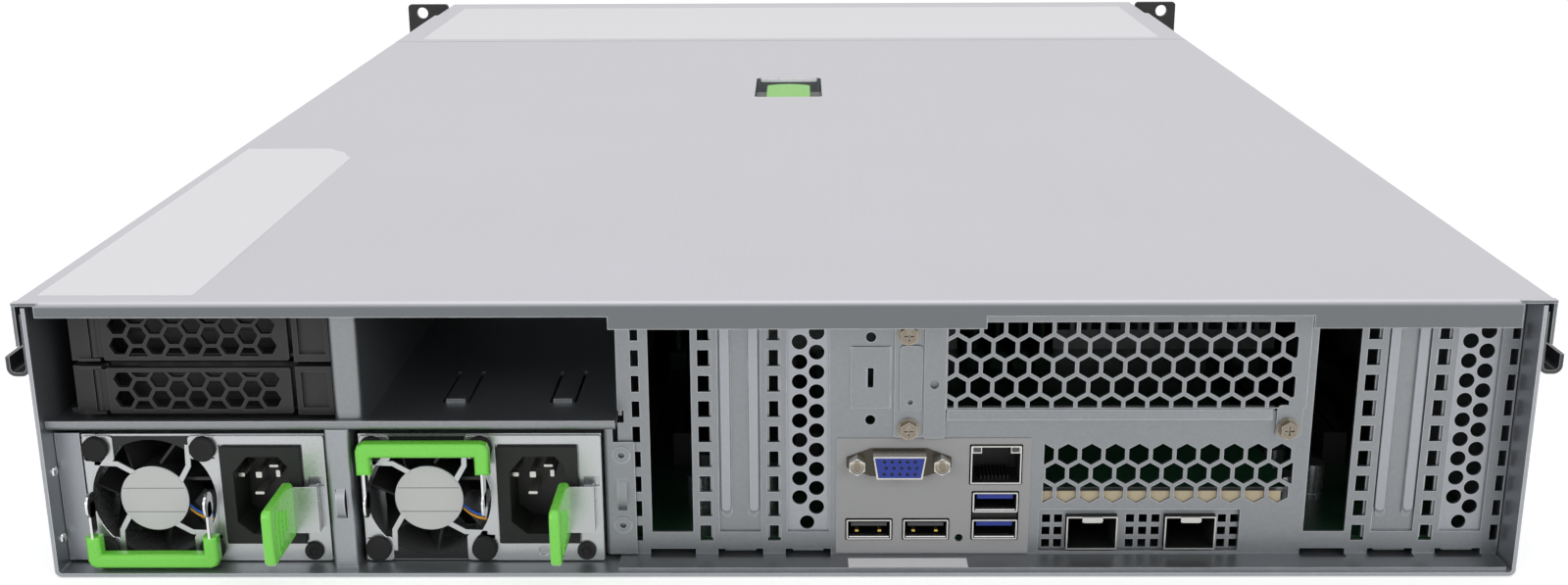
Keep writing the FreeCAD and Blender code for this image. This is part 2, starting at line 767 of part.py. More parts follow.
add("io_panel", make_io_panel())
add("vga_port", make_vga())
add("lan_port", make_lan())
add("usb_ports", make_usb(usb_left_x, False), make_usb(usb_right_x, False), make_usb(usb_stack_x, True))
add("network_card", make_sfp_card())
add("sfp_cages", *[make_sfp_cage(sfp_left + sfp_first + i * sfp_pitch) for i in range(2)])


# ---------------------------------------------------------------- shelf, dividers and brackets
def make_shelf():
    """Shelf over the supplies with a rolled rear edge and two raised tongues in the empty bay."""
    middle = shelf_bottom + pan_gauge / 2
    back = shelf_setback + shelf_depth
    path = [(back, middle), (shelf_setback + pan_gauge / 2, middle),
            (shelf_setback + pan_gauge / 2, shelf_bottom + shelf_hem)]
    left, right = -inner + running_gap, wall_left
    shelf = bent_sheet(path, pan_gauge, "yz", left, right, 0.6)
    tongues, grooves = [], []
    for share in (0.32, 0.76):
        x = divider_right + share * (wall_left - divider_right)
        y = shelf_setback + 22
        grooves.append(box((x - 4.2, x - 3.2), (y, y + 30), (shelf_bottom - 1, shelf_top + 1)))
        grooves.append(box((x + 3.2, x + 4.2), (y, y + 30), (shelf_bottom - 1, shelf_top + 1)))
        tongues.append(box((x - 2.8, x + 2.8), (y, y + 2), (shelf_top - 0.2, shelf_top + 1.2)))
    return cut(fuse([shelf, *tongues]), grooves)


def make_bay_divider():
    """Upright channel between the rear drive cage and the empty bay, with a flat rear face."""
    gauge = 1.0
    x0, x1 = divider_left + gauge / 2 + running_gap, divider_right - gauge / 2
    y0, y1 = shelf_setback + pan_gauge + 1.0, bay_depth
    path = [(x0, y1), (x0, y0), (x1, y0), (x1, y1)]
    channel = bent_sheet(path, gauge, "xy", shelf_top, wall_top - 0.4, 1.2)
    return channel


def make_bay_liner():
    """Side and back wall of the empty bay."""
    gauge = 1.0
    x = wall_left + 0.2
    y0, y1 = wall_back + 0.3, bay_depth
    path = [(x + gauge / 2, y0), (x + gauge / 2, y1), (divider_right + running_gap, y1)]
    return bent_sheet(path, gauge, "xy", shelf_top, wall_top - 0.4, 1.0)


def make_psu_divider():
    """Upright between the supplies: a folded channel with a pressed bridge in its rear face."""
    middle = (psu_lefts[0] + psu_width + psu_lefts[1]) / 2
    half, gauge = 3.3, 0.8
    y0, y1 = shelf_setback + 1.5, psu_setback + psu_length + 2
    path = [(middle - half, y1), (middle - half, y0), (middle + half, y0), (middle + half, y1)]
    channel = bent_sheet(path, gauge, "xy", floor, shelf_bottom, 0.6)
    slot = box((middle - 1.6, middle + 1.6), (y0 - 2, y0 + 2), (psu_middle - 9, psu_middle + 9))
    bridge = rod(6.5, (middle - 1.3, y0 + 4.2, psu_middle), (middle + 1.3, y0 + 4.2, psu_middle))
    bridge = bridge.cut(rod(5.6, (middle - 2, y0 + 4.2, psu_middle), (middle + 2, y0 + 4.2, psu_middle)))
    bridge = bridge.common(box((middle - 2, middle + 2), (y0 - 3, y0 + 0.4), (0, shelf_bottom)))
    opened = channel.cut(slot.common(box((middle - 1.6, middle + 1.6), (y0 - 2, y0 + 2),
                                         (psu_middle - 4.6, psu_middle + 4.6))))
    return fuse([opened, bridge])


def make_psu_bracket():
    """Wall right of the supplies with a flange over the rear wall, two bosses and a pressed bridge."""
    gauge = 0.8
    x = psu_bay_right + sliding_gap + gauge / 2
    y0 = wall_face - gauge / 2 - running_gap
    right = wall_left + 4.9
    path = [(x, psu_setback + psu_length + 2), (x, y0), (right, y0)]
    z = (floor + wall_gauge + 0.4, shelf_bottom - 0.2)
    wall = bent_sheet(path, gauge, "xy", *z, 0.6)
    notch = box((wall_left - 1.5, right + 1), (y0 - 2, y0 + 2), (shelf_bottom - 6.4, shelf_bottom))
    rear = y0 - gauge / 2
    middle = wall_left + 0.9
    bosses, screws = [], []
    for height in (12.1, 34.4):
        bosses.append(rod(2.6, (middle, rear - 0.4, height), (middle, rear, height)))
        screws.append(rod(1.0, (middle, rear - 2, height), (middle, rear + 0.9, height)))
    bridge = rod(7.5, (middle - 1.4, rear + 5.6, psu_middle), (middle + 1.4, rear + 5.6, psu_middle))
    bridge = bridge.common(box((middle - 2, middle + 2), (rear - 3, rear), (0, shelf_bottom)))
    return cut(fuse([wall, *bosses, bridge]), [notch, *screws])


def make_rail(side):
    """Inner slide profile on the pan's side, with a hook that curls outward along its lower edge."""
    web = chassis_width / 2 + rail_gauge / 2
    path = [(side * web, rail_bottom + rail_height), (side * web, rail_bottom + rail_gauge / 2),
            (side * (web + rail_hook_reach), rail_bottom + rail_gauge / 2),
            (side * (web + rail_hook_reach), rail_bottom + rail_hook_rise)]
    return bent_sheet(path, rail_gauge, "xz", 1.5, 1.5 + rail_length, 1.4)


add("bay_shelf", make_shelf())
add("bay_walls", make_bay_divider(), make_bay_liner())
add("psu_divider", make_psu_divider())
add("psu_bracket", make_psu_bracket())
add("slide_rails", make_rail(-1), make_rail(1))


# ---------------------------------------------------------------- power supplies
def spoke_outline(cx, cz, quarter):
    """One swirled spoke of the fan guard, turned by quarters about the fan's centre."""
    path = [(-4.6, 7.6), (-10.4, 11.0), (-16.4, 11.0)]
    for _ in range(quarter):
        path = [(v, -u) for u, v in path]
    return bent_outline([(cx + u, cz + v) for u, v in path], spoke_width, 2.0)


def make_psu_case(left):
    """Supply casing with a round well for its fan, the fan's motor post and the card edge plug."""
    y0, y1 = psu_setback + face_gauge, psu_setback + psu_length
    z = (psu_bottom, psu_bottom + psu_height)
    cx, cz = left + fan_square / 2, psu_middle
    case = box((left, left + psu_width), (y0, y1), z)
    well = rod(fan_mouth_radius + 0.4, (cx, y0 - 1, cz), (cx, y0 + fan_depth, cz))
    inlet_z = psu_middle + 1.0
    pocket = box((left + inlet_x, left + inlet_x + inlet_width), (y0 - 1, y0 + inlet_depth),
                 (inlet_z - inlet_height / 2, inlet_z + inlet_height / 2))
    case = case.cut([well, pocket])
    motor = rod(fan_hub_radius - 1, (cx, y0 + fan_depth - 5, cz), (cx, y0 + fan_depth, cz))
    wheel_end = y0 + 1.0 + psu_fan_depth
    shaft = rod(psu_shaft_radius, (cx, wheel_end - shaft_reach + running_gap, cz), (cx, y0 + fan_depth, cz))
    middle = left + psu_width / 2
    plug = box((middle - 22, middle + 22), (y1, y1 + 8), (psu_middle - 5, psu_middle - 3.4))
    return fuse([case, motor, shaft, plug])


def make_psu_face(left):
    """Pressed face: swirl guard over the fan, openings for inlet and latch, pivot ears and caps."""
    cx, cz = left + fan_square / 2, psu_middle
    y0, y1 = psu_setback, psu_setback + face_gauge
    inlet_z = psu_middle + 1.0
    holes = [circle(cx, cz, fan_mouth_radius),
             polygon([(left + inlet_x, inlet_z - inlet_height / 2),
                      (left + inlet_x + inlet_width, inlet_z - inlet_height / 2),
                      (left + inlet_x + inlet_width, inlet_z + inlet_height / 2),
                      (left + inlet_x, inlet_z + inlet_height / 2)]),
             circle(left + psu_width - 18.0, psu_bottom + 3.2, 1.7)]
    face = plate(rounded((left, left + psu_width), (psu_bottom, psu_bottom + psu_height), 1.0), "xz",
                 y0, y1, holes)
    pieces = [face, rod(fan_hub_radius, (cx, y0 - 0.4, cz), (cx, y1, cz))]
    for quarter in range(4):
        pieces.append(plate(spoke_outline(cx, cz, quarter), "xz", y0, y1))
    for sx in (-1, 1):
        for sz in (-1, 1):
            x, z = cx + sx * fan_hole_spread / 2, cz + sz * fan_hole_spread / 2
            pieces.append(rod(cap_radius + 0.2, (x, y0 - 0.3, z), (x, y1, z)))
            pieces.append(rod(cap_radius, (x, y0 - cap_proud, z), (x, y0, z)))
        ear_x = cx + sx * (bail_width / 2 - bail_arm / 2 - strap_gauge)
        ear = plate(rounded((pivot_y() - 2.2, y0 + 0.4), (cz - 2.6, cz + 2.6), 1.8), "yz",
                    ear_x - strap_gauge / 2, ear_x + strap_gauge / 2)
        pin_end = ear_x + sx * (strap_gauge * 2)
        pieces += [ear, rod(pivot_radius, (ear_x, pivot_y(), cz), (pin_end, pivot_y(), cz)),
                   box((min(ear_x - sx * 0.4, ear_x + sx * 2.4), max(ear_x - sx * 0.4, ear_x + sx * 2.4)),
                       (y0 - 0.2, y0 + 0.2), (cz - 2.6, cz + 2.6))]
    screw = rod(2.7, (left + psu_width - 4.6, y0 - 1.2, psu_bottom + 4.0),
                (left + psu_width - 4.6, y0, psu_bottom + 4.0))
    return fuse([*pieces, screw])


def pivot_y():
    """Where the bail handles turn, in front of the supplies' faces."""
    return psu_setback - cap_proud - running_gap - bail_depth / 2 - 0.2


def make_inlet(left):
    """Appliance inlet: block with an eight-sided mouth and three blades."""
    x0 = left + inlet_x + 0.1
    x1 = left + inlet_x + inlet_width - 0.1
    middle = psu_middle + 1.0
    y0 = psu_setback - inlet_proud
    y1 = psu_setback + face_gauge + inlet_depth - 0.2
    z = (middle - inlet_height / 2 + 0.1, middle + inlet_height / 2 - 0.1)
    block = box((x0, x1), (y0, y1), z)
    cx = (x0 + x1) / 2 - 0.5
    w, h = inlet_mouth_width / 2, inlet_mouth_height / 2
    bevel = 4.2
    mouth = polygon([(cx - w + bevel, middle - h), (cx + w - bevel * 0.7, middle - h),
                     (cx + w, middle - h + bevel * 0.7), (cx + w, middle + h - bevel * 0.7),
                     (cx + w - bevel * 0.7, middle + h), (cx - w + bevel, middle + h),
                     (cx - w, middle + h - bevel), (cx - w, middle - h + bevel)])
    block = block.cut(plate(mouth, "xz", y0 - 1, y1 - 3))
    blades = []
    for bx, bz in ((cx, middle + 7.0), (cx, middle - 7.0), (cx - 4.2, middle)):
        blades.append(box((bx - 2.0, bx + 2.0), (y0 + 3, y1 - 2), (bz - 1.0, bz + 1.0)))
    return fuse([block, *blades])


def make_bail(left, upward):
    """Bail handle: moulded grip on two steel straps that turn on the face's pivot pins."""
    cx, cz = left + fan_square / 2, psu_middle
    sign = 1 if upward else -1
    y0, y1 = pivot_y() - bail_depth / 2, pivot_y() + bail_depth / 2
    half = bail_width / 2

    def z_pair(a, b):
        return tuple(sorted((cz + sign * a, cz + sign * b)))

    grip = plate(rounded((cx - half, cx + half), z_pair(bail_reach - bail_leg, bail_reach), 2.2), "xz", y0, y1)
    gap = box((cx - half + bail_arm, cx + half - bail_arm), (y0 - 1, y1 + 1),
              z_pair(bail_reach - bail_leg - 1, bail_reach - bail_bar))
    grip = grip.cut(gap)
    edges = [e for e in grip.Edges if abs(e.CenterOfMass.y - y0) < 0.01 and e.Length > 1.0]
    grip = grip.makeFillet(0.9, edges)
    straps = []
    for sx in (-1, 1):
        ear_x = cx + sx * (half - bail_arm / 2 - strap_gauge)
        x0, x1 = sorted((ear_x + sx * (strap_gauge / 2 + 0.15), ear_x + sx * (strap_gauge * 1.5 + 0.15)))
        strap = plate(rounded((pivot_y() - strap_width / 2, pivot_y() + strap_width / 2),
                              z_pair(-strap_width / 2, bail_reach - bail_leg + 1.5), strap_width / 2 - 0.05),
                      "yz", x0, x1, [circle(pivot_y(), cz, pivot_radius + pin_gap)])
        straps.append(strap)
    return fuse([grip, *straps])


def make_psu_latch(left):
    """Release tab: spring strip across the face's right side and a ribbed upright thumb tab."""
    x = left + latch_x
    z0 = psu_bottom + latch_bottom
    y1 = psu_setback - inlet_proud - running_gap
    y0 = y1 - latch_reach
    outline = rounded((y0, y1), (z0, z0 + latch_height), 2.4)
    tab = plate(outline, "yz", x - latch_thickness / 2, x + latch_thickness / 2)
    ribs = []
    for i in range(4):
        y = y0 + 4.5 + i * 3.4
        ribs.append(plate(rounded((y, y + 1.4), (z0 + 3, z0 + latch_height - 3), 0.6), "yz",
                          x + latch_thickness / 2, x + latch_thickness / 2 + 0.6))
    reach = x + latch_strip_width
    strip_z = (z0 + 1.8, z0 + latch_height - 2.2)
    path = [(x, y1 - 1.4), (reach, y1 - 1.4), (reach, psu_setback - running_gap)]
    strip = bent_sheet(path, latch_strip_gauge, "xy", *strip_z, 0.5)
    return fuse([tab, *ribs, strip])


def make_psu_fan(left):
    y = psu_setback + face_gauge + 1.0
    return rotor((left + fan_square / 2, psu_middle), y, psu_fan_depth, fan_hub_radius - 0.4,
                 fan_mouth_radius - 0.5, psu_shaft_radius + pin_gap, -shaft_reach)


SUPPLIES = ["left", "right"]
for label, left in zip(SUPPLIES, psu_lefts):
    add(f"psu_{label}_case", make_psu_case(left))
    add(f"psu_{label}_face", make_psu_face(left))
    add(f"psu_{label}_inlet", make_inlet(left))
    add(f"psu_{label}_bail", make_bail(left, label == "right"))
    add(f"psu_{label}_latch", make_psu_latch(left))
    add(f"psu_{label}_fan", make_psu_fan(left))


# ---------------------------------------------------------------- rear drive cage
cage_left = -inner + psu_side_gap - 1.2
carrier_left = cage_left + 1.0 + running_gap
carrier_right = divider_left - running_gap
carrier_front = psu_setback - 0.5
hinge_x = carrier_left + 7.0
carrier_bottoms = [shelf_bottom + shelf_hem + running_gap + i * carrier_pitch for i in range(2)]


def make_rear_cage():
    """Folded cage on the shelf that holds the two drives, with a runner between them."""
    gauge = 1.0
    y0, y1 = carrier_front + 10, bay_depth
    left_wall = box((cage_left, cage_left + gauge), (y0, y1), (shelf_top, wall_top - 0.4))
    foot = box((cage_left - 4, cage_left + gauge), (y0, y1), (shelf_top, shelf_top + gauge))
    back = box((cage_left, divider_left), (y1 - gauge, y1), (shelf_top, wall_top - 0.4))
    pieces = [left_wall, foot, back]
    for bottom in carrier_bottoms:
        runner_z = (bottom - running_gap - 0.9, bottom - running_gap)
        pieces.append(box((cage_left, carrier_left + 5), (y0, y1), runner_z))
    return fuse(pieces)


def make_carrier(bottom):
    """2.5-inch drive in its carrier: frame with a hinge post on the left and a release block."""
    top = bottom + carrier_height
    x0, x1 = carrier_left, carrier_right
    y0, y1 = carrier_front, carrier_front + carrier_length
    frame_back = y0 + 12
    post = box((x0, hinge_x + 2.6), (y0 + 1.5, frame_back), (bottom, top))
    socket = rod(hinge_radius + 0.25, (hinge_x, y0 + 2.2, bottom - 1), (hinge_x, y0 + 2.2, top + 1))
    throat = box((hinge_x - 0.5, hinge_x + 4), (y0 - 1, y0 + 3.6), (bottom - 1, top + 1))
    keepers = [rod(hinge_radius - 0.1, (hinge_x, y0 + 2.2, bottom), (hinge_x, y0 + 2.2, bottom + 0.8)),
               rod(hinge_radius - 0.1, (hinge_x, y0 + 2.2, top - 0.8), (hinge_x, y0 + 2.2, top))]
    post = post.cut([socket, throat])
    caps = [box((x0 + 2, hinge_x + 1.4), (y0 + 0.8, y0 + 5), (bottom, bottom + 0.8)),
            box((x0 + 2, hinge_x + 1.4), (y0 + 0.8, y0 + 5), (top - 0.8, top))]
    block_left = x1 - 10.5
    block = box((block_left, x1), (y0, frame_back), (bottom, top))
    block = block.cut(box((block_left + 1.6, x1 - 1.2), (y0 - 1, y0 + 1.2), (bottom + 2.2, top - 1.6)))
    sill = box((x0, x1), (y0 + 5.0, frame_back), (bottom, bottom + 1.0))
    roof = box((x0, x1), (y0 + 5.0, frame_back), (top - 1.0, top))
    rails = [box((x0, x0 + 2.0), (frame_back - 1, y1), (bottom, bottom + 9)),
             box((x1 - 2.0, x1), (frame_back - 1, y1), (bottom, bottom + 9))]
    drive = box((x0 + 2.0, x1 - 2.0), (frame_back, y1 - 4), (bottom + 0.4, bottom + 13.4))
    drive_feet = box((x0 + 1.9, x1 - 1.9), (frame_back - 0.4, y1 - 4), (bottom + 2, bottom + 6))
    return fuse([post, *caps, *keepers, block, sill, roof, *rails, drive, drive_feet])


def make_door(bottom):
    """Perforated front of a rear drive carrier that swings on its left edge to draw the drive out."""
    top = bottom + carrier_height
    left, right = hinge_x + 2.8, hinge_x + 3.4 + door_length
    z = (bottom + 0.3, top - 0.3)
    y0 = carrier_front + 0.6
    rise = door_pitch * math.sqrt(3) / 2
    holes = hex_field((left + 1.2, right - 2.6), (z[0] + 1.3, z[1] - 1.1), door_pitch, door_hex,
                      (left + 4.0, (z[0] + z[1]) / 2 - rise / 2))
    panel = plate(rounded((left, right), z, 0.6), "xz", y0, y0 + door_gauge, holes)
    barrel_z = (bottom + 1.1, top - 1.1)
    barrel = rod(hinge_radius, (hinge_x, carrier_front + 2.2, barrel_z[0]),
                 (hinge_x, carrier_front + 2.2, barrel_z[1]))
    arm = box((hinge_x, left + 1), (carrier_front + 1.2, carrier_front + 2.6), barrel_z)
    handle = box((right - 2.0, right + 4.4), (y0 - 0.6, y0 + door_gauge), (z[0] + 0.6, z[1] - 0.6))
    return fuse([panel, arm, barrel, handle])


add("rear_drive_cage", make_rear_cage())
for place, bottom in zip(("lower", "upper"), carrier_bottoms):
    add(f"rear_carrier_{place}", make_carrier(bottom))
    add(f"rear_carrier_{place}_door", make_door(bottom))


# ---------------------------------------------------------------- front drive cage
bay_width = (2 * inner - 2 * running_gap - (front_columns + 1) * cage_gauge) / front_columns
bay_height = (wall_top - floor - 1.0 - (front_rows + 1) * cage_gauge) / front_rows
cage_front = front_face - front_face_depth + 2
cage_back = cage_front - front_cage_depth


def bay_corner(column, row):
    """Left and bottom of a front bay's opening."""
    x = -inner + running_gap + cage_gauge + column * (bay_width + cage_gauge)
    return x, floor + 0.3 + cage_gauge + row * (bay_height + cage_gauge)


def make_front_cage():
    """Open grid of bays from one folded box with its dividers."""
    width = (-inner + running_gap, inner - running_gap)
    height = (floor + 0.3, floor + 0.3 + front_rows * bay_height + (front_rows + 1) * cage_gauge)
    block = box(width, (cage_back, cage_front), height)
    tools = []
    for column in range(front_columns):
        for row in range(front_rows):
            x, z = bay_corner(column, row)
            tools.append(box((x, x + bay_width), (cage_back - 1, cage_front + 1), (z, z + bay_height)))
    return cut(block, tools)


def bay_face(column, row):
    """(x pair, z pair) of what fills a front bay."""
    x, z = bay_corner(column, row)
    return (x + sliding_gap, x + bay_width - sliding_gap), (z + sliding_gap, z + bay_height - sliding_gap)


def make_front_blank(column, row):
    """Filler for an empty front bay: shallow tray face with a row of slanted vents."""
    x, z = bay_face(column, row)
    face = plate(rounded(x, z, 1.0), "xz", front_face - 3, front_face,
                 [polygon([(vx, z[0] + 5), (vx + 5, z[0] + 5), (vx + 8, z[1] - 5), (vx + 3, z[1] - 5)])
                  for vx in [x[0] + 9 + i * 9.4 for i in range(9)]])
    rim = plate(rounded(x, z, 1.0), "xz", front_face - 40, front_face - 3,
                [rounded((x[0] + 1.2, x[1] - 1.2), (z[0] + 1.2, z[1] - 1.2), 0.6)])
    return fuse([face, rim])


def lever_hinge(column, row):
    """(x, y) of a front carrier lever's hinge line."""
    x, _ = bay_face(column, row)
    return x[0] + 5.0, front_face - 2.4


def make_front_carrier(column, row):
    """3.5-inch drive in its carrier: face with side latch block, hinge pocket and runner rails."""
    x, z = bay_face(column, row)
    y1 = front_face - front_lever_gauge - 2.1
    y0 = y1 - 10
    face = plate(rounded(x, z, 1.0), "xz", y0, y1,
                 [rounded((x[0] + 14 + i * 12.6, x[0] + 22 + i * 12.6), (z[0] + 4, z[1] - 4), 1.5)
                  for i in range(5)])
    hx, hy = lever_hinge(column, row)
    ledges = [box((x[0], hx + 2.4), (y1 - 1, front_face), pair)
              for pair in ((z[0], z[0] + 1.6), (z[1] - 1.6, z[1]))]
    pins = [rod(hinge_radius - pin_gap, (hx, hy, z[0] + 1), (hx, hy, z[0] + 4.6)),
            rod(hinge_radius - pin_gap, (hx, hy, z[1] - 4.6), (hx, hy, z[1] - 1))]
    block = box((x[1] - 20, x[1]), (y1 - 1, front_face), z)
    back = front_face - front_carrier_length
    rails = [box((x[0], x[0] + 2), (back, y0 + 1), (z[0], z[0] + 14)),
             box((x[1] - 2, x[1]), (back, y0 + 1), (z[0], z[0] + 14))]
    drive = box((x[0] + 2, x[1] - 2), (back + 2, y0), (z[0] + 0.6, z[0] + min(21.0, z[1] - z[0] - 1)))
    link = box((x[0] + 1.9, x[1] - 1.9), (back + 2, y0 + 0.4), (z[0] + 2, z[0] + 6))
    return fuse([face, *ledges, *pins, block, *rails, drive, link])


def make_front_lever(column, row):
    """Lever that lies across a front carrier's face and swings out on its hinge."""
    x, z = bay_face(column, row)
    hx, hy = lever_hinge(column, row)
    right = x[1] - 20 - running_gap
    y0 = front_face - front_lever_gauge
    low, high = z[0] + 1.6 + running_gap, z[1] - 1.6 - running_gap
    bar = plate(rounded((hx + 3, right), (low + 2, high - 2), 1.2), "xz", y0, front_face,
                [rounded((hx + 10 + i * 12.4, hx + 18 + i * 12.4), (low + 5, high - 5), 1.5)
                 for i in range(5)])
    barrel = rod(2.3, (hx, hy, low), (hx, hy, high))
    neck = box((hx, hx + 4), (hy - 0.6, hy + 1.2), (low + 2, high - 2))
    bores = [rod(hinge_radius, (hx, hy, low - 1), (hx, hy, z[0] + 4.9)),
             rod(hinge_radius, (hx, hy, z[1] - 4.9), (hx, hy, high + 1))]
    return cut(fuse([bar, neck, barrel]), bores)


add("front_cage", make_front_cage())
used_bays = [(0, 0), (1, 0)]
free_bays = [(c, r) for r in range(front_rows) for c in range(front_columns) if (c, r) not in used_bays]
add("drive_blanks", *[make_front_blank(c, r) for c, r in free_bays])
for number, (column, row) in enumerate(used_bays, 1):
    add(f"front_carrier_{number}", make_front_carrier(column, row))
    add(f"front_carrier_{number}_lever", make_front_lever(column, row))
add("drive_backplane", box((-inner + 2, inner - 2), (cage_back - 3.4, cage_back - 0.2), (floor, wall_top - 6)))


# ---------------------------------------------------------------- rack ears, buttons and front cover
def make_ear(side, with_buttons):
    """Moulded rack ear: flange with rack holes and a rounded grip with the controls' bores."""
    inside, outside = chassis_width / 2 + 0.3, ear_span / 2
    y0, y1 = ear_plane, ear_plane + ear_plate
    hole_x = rack_hole_span / 2
    holes = [circle(side * hole_x, ear_height / 2 + s * rack_hole_rise / 2, rack_hole_radius) for s in (-1, 1)]
    xs = tuple(sorted((side * inside, side * outside)))
    flange = plate(rounded(xs, (0, ear_height), 2.0), "xz", y0, y1, holes)
    arm = box(tuple(sorted((side * inside, side * (inside + 2.4)))), (ear_plane - 34, y1), (4, body_height - 4))
    grip_z = (ear_height / 2 - 30, ear_height / 2 + 30)
    grip_xs = tuple(sorted((side * (inside + 0.4), side * (outside - 1.6))))
    grip = plate(rounded(grip_xs, (y1 - 0.5, y1 + ear_grip_depth), 8.0), "xy", *grip_z)
    edges = [e for e in grip.Edges if abs(e.CenterOfMass.z - grip_z[1]) < 0.01
             or abs(e.CenterOfMass.z - grip_z[0]) < 0.01]
    grip = grip.makeFillet(2.5, edges)
    pieces = fuse([flange, arm, grip])
    if with_buttons:
        for z, radius in button_places():
            pieces = pieces.cut(rod(radius + running_gap, (side * button_x(), y1 + ear_grip_depth - 6,
                                                           z), (side * button_x(), y1 + 40, z)))
    return pieces


def button_places():
    """(height, radius) of the power and identify buttons."""
    return [(ear_height / 2 + 16, 4.2), (ear_height / 2 - 2, 2.6)]


def button_x():
    return (chassis_width / 2 + ear_span / 2) / 2 - 0.5


def make_button(side, z, radius):
    y = ear_plane + ear_plate + ear_grip_depth
    return rod(radius, (side * button_x(), y - 6 + 1.8, z), (side * button_x(), y + 0.6, z))


def make_front_cover():
    """Fixed cover over the front drive cage with side skirts."""
    half = lid_width / 2 - lid_gauge / 2
    z = body_height - lid_gauge / 2
    path = [(-half, body_height - lid_skirt), (-half, z), (half, z), (half, body_height - lid_skirt)]
    cover = bent_sheet(path, lid_gauge, "xz", lid_seam + lid_seam_gap, ear_plane - 35)
    nose_half = chassis_width / 2
    nose = box((-nose_half, nose_half), (ear_plane - 36, front_face - 1), (lid_underside, body_height))
    return fuse([cover, nose])


add("ear_left", make_ear(-1, True))
add("ear_right", make_ear(1, False))
add("power_button", make_button(-1, *button_places()[0]))
add("identify_button", make_button(-1, *button_places()[1]))
add("front_cover", make_front_cover())


# ---------------------------------------------------------------- lid and its latch
def make_lid():
    """Lift-off lid: skirts at the sides, stepped rear flange and a pocket for the latch."""
    half = lid_width / 2 - lid_gauge / 2
    z = body_height - lid_gauge / 2
    path = [(-half, body_height - lid_skirt), (-half, z), (half, z), (half, body_height - lid_skirt)]
    lid = bent_sheet(path, lid_gauge, "xz", lid_gauge + bend_radius, lid_seam)
    left, right = -lid_width / 2 + lid_corner_gap, lid_width / 2 - lid_corner_gap - 3
    top_strip = bent_sheet([(lid_gauge + bend_radius + 2, z), (lid_gauge / 2, z),
                            (lid_gauge / 2, body_height - lid_flange_short)], lid_gauge, "yz", left, right)
    corners = [box(pair, (0.2, lid_gauge + bend_radius + 1), (lid_underside, body_height))
               for pair in ((-lid_width / 2 + 0.6, left + 1), (right - 1, lid_width / 2 - 0.6))]
    notch_left, notch_right = upper_left + 10.6, upper_left + upper_vent_width + 0.4
    tall = []
    for pair in ((wall_left - 0.8, notch_left), (notch_right, right)):
        tall.append(box(pair, (0, lid_gauge), (body_height - lid_flange_tall, body_height - lid_flange_short + 0.5)))
    pocket_x = (-latch_pocket_width / 2, latch_pocket_width / 2)
    pocket_y = (latch_pocket_y, latch_pocket_y + latch_pocket_length)
    opening = plate(rounded(pocket_x, pocket_y, 2.0), "xy", lid_underside - 1, body_height + 1)
    tray_floor = body_height - latch_pocket_depth
    grow = lid_gauge
    tray = plate(rounded((pocket_x[0] - grow, pocket_x[1] + grow), (pocket_y[0] - grow, pocket_y[1] + grow), 3.0),
                 "xy", tray_floor - lid_gauge, lid_underside)
    hollow = plate(rounded(pocket_x, pocket_y, 2.0), "xy", tray_floor, lid_underside + 1)
    skin = cut(fuse([lid, top_strip, *corners, *tall]), [opening])
    return fuse([skin, tray.cut(hollow)])


def make_lid_button():
    """Thumb latch in the lid's pocket, with a crowned top and a rounded far end."""
    half = button_width / 2
    y0 = latch_pocket_y + running_gap
    z0 = body_height - latch_pocket_depth + button_travel
    outline = [("line", (-half, y0), (half, y0)), ("line", (half, y0), (half, y0 + button_length - 4)),
               ("arc", (half, y0 + button_length - 4), (0, y0 + button_length), (-half, y0 + button_length - 4)),
               ("line", (-half, y0 + button_length - 4), (-half, y0))]
    pad = plate(outline, "xy", z0, body_height - 0.6)
    edges = [e for e in pad.Edges if abs(e.CenterOfMass.z - (body_height - 0.6)) < 0.01]
    pad = pad.makeFillet(0.8, edges)
    guide_half = latch_pocket_width / 2 - running_gap
    guide = box((-guide_half, guide_half), (y0 + 4, y0 + button_length - 10), (z0, z0 + 1.0))
    return fuse([pad, guide])


add("lid", make_lid())
add("lid_button", make_lid_button())


# ---------------------------------------------------------------- board, cooling and power distribution
board_x = (wall_left + 3, inner - 3)
board_y = (wall_back + 1.5, wall_back + 1.5 + board_depth)
sink_y = wall_back + 190
sink_xs = [board_x[0] + (board_x[1] - board_x[0]) * share - heatsink_size / 2 for share in (0.27, 0.76)]


def make_heatsink(x):
    base = box((x, x + heatsink_size), (sink_y, sink_y + heatsink_size), (board_top, board_top + 8))
    fins = []
    step = (heatsink_size - 1.6) / (heatsink_fins - 1)
    for i in range(heatsink_fins):
        left = x + i * step
        fins.append(box((left, left + 1.6), (sink_y, sink_y + heatsink_size),
                        (board_top + 8, board_top + heatsink_height)))
    return fuse([base, *fins])


def make_modules():
    """Memory modules in their sockets, between and left of the processors."""
    made = []
    for start, count in ((sink_xs[0] + heatsink_size + 5, 4), (board_x[0] + 4, 2)):
        for i in range(count):
            x = start + i * module_pitch
            y = sink_y - 22
            socket = box((x - 3, x + 3), (y - 4, y + module_length + 4), (board_top, board_top + 7))
            module = box((x - 0.7, x + 0.7), (y, y + module_length), (board_top + 7, board_top + 2 + module_height))
            made.append(fuse([socket, module]))
    return made


def make_motherboard():
    """Main board with a bay at its rear edge for the network card's cages."""
    board = box(board_x, board_y, (board_bottom, board_top))
    bay = box((sfp_left - 3, sfp_left + sfp_window_width + 3), (0, wall_back + 52), (0, body_height))
    return board.cut(bay)


def make_card_sockets():
    """Card edge connectors on the board behind each expansion slot."""
    made = []
    for x in left_slots + right_slots:
        y0 = wall_back + 62
        body = box((x - 3.8, x + 3.8), (y0, y0 + 89), (board_top, board_top + 11))
        made.append(body.cut(box((x - 0.9, x + 0.9), (y0 + 3, y0 + 86), (board_top + 3, board_top + 12))))
    return made


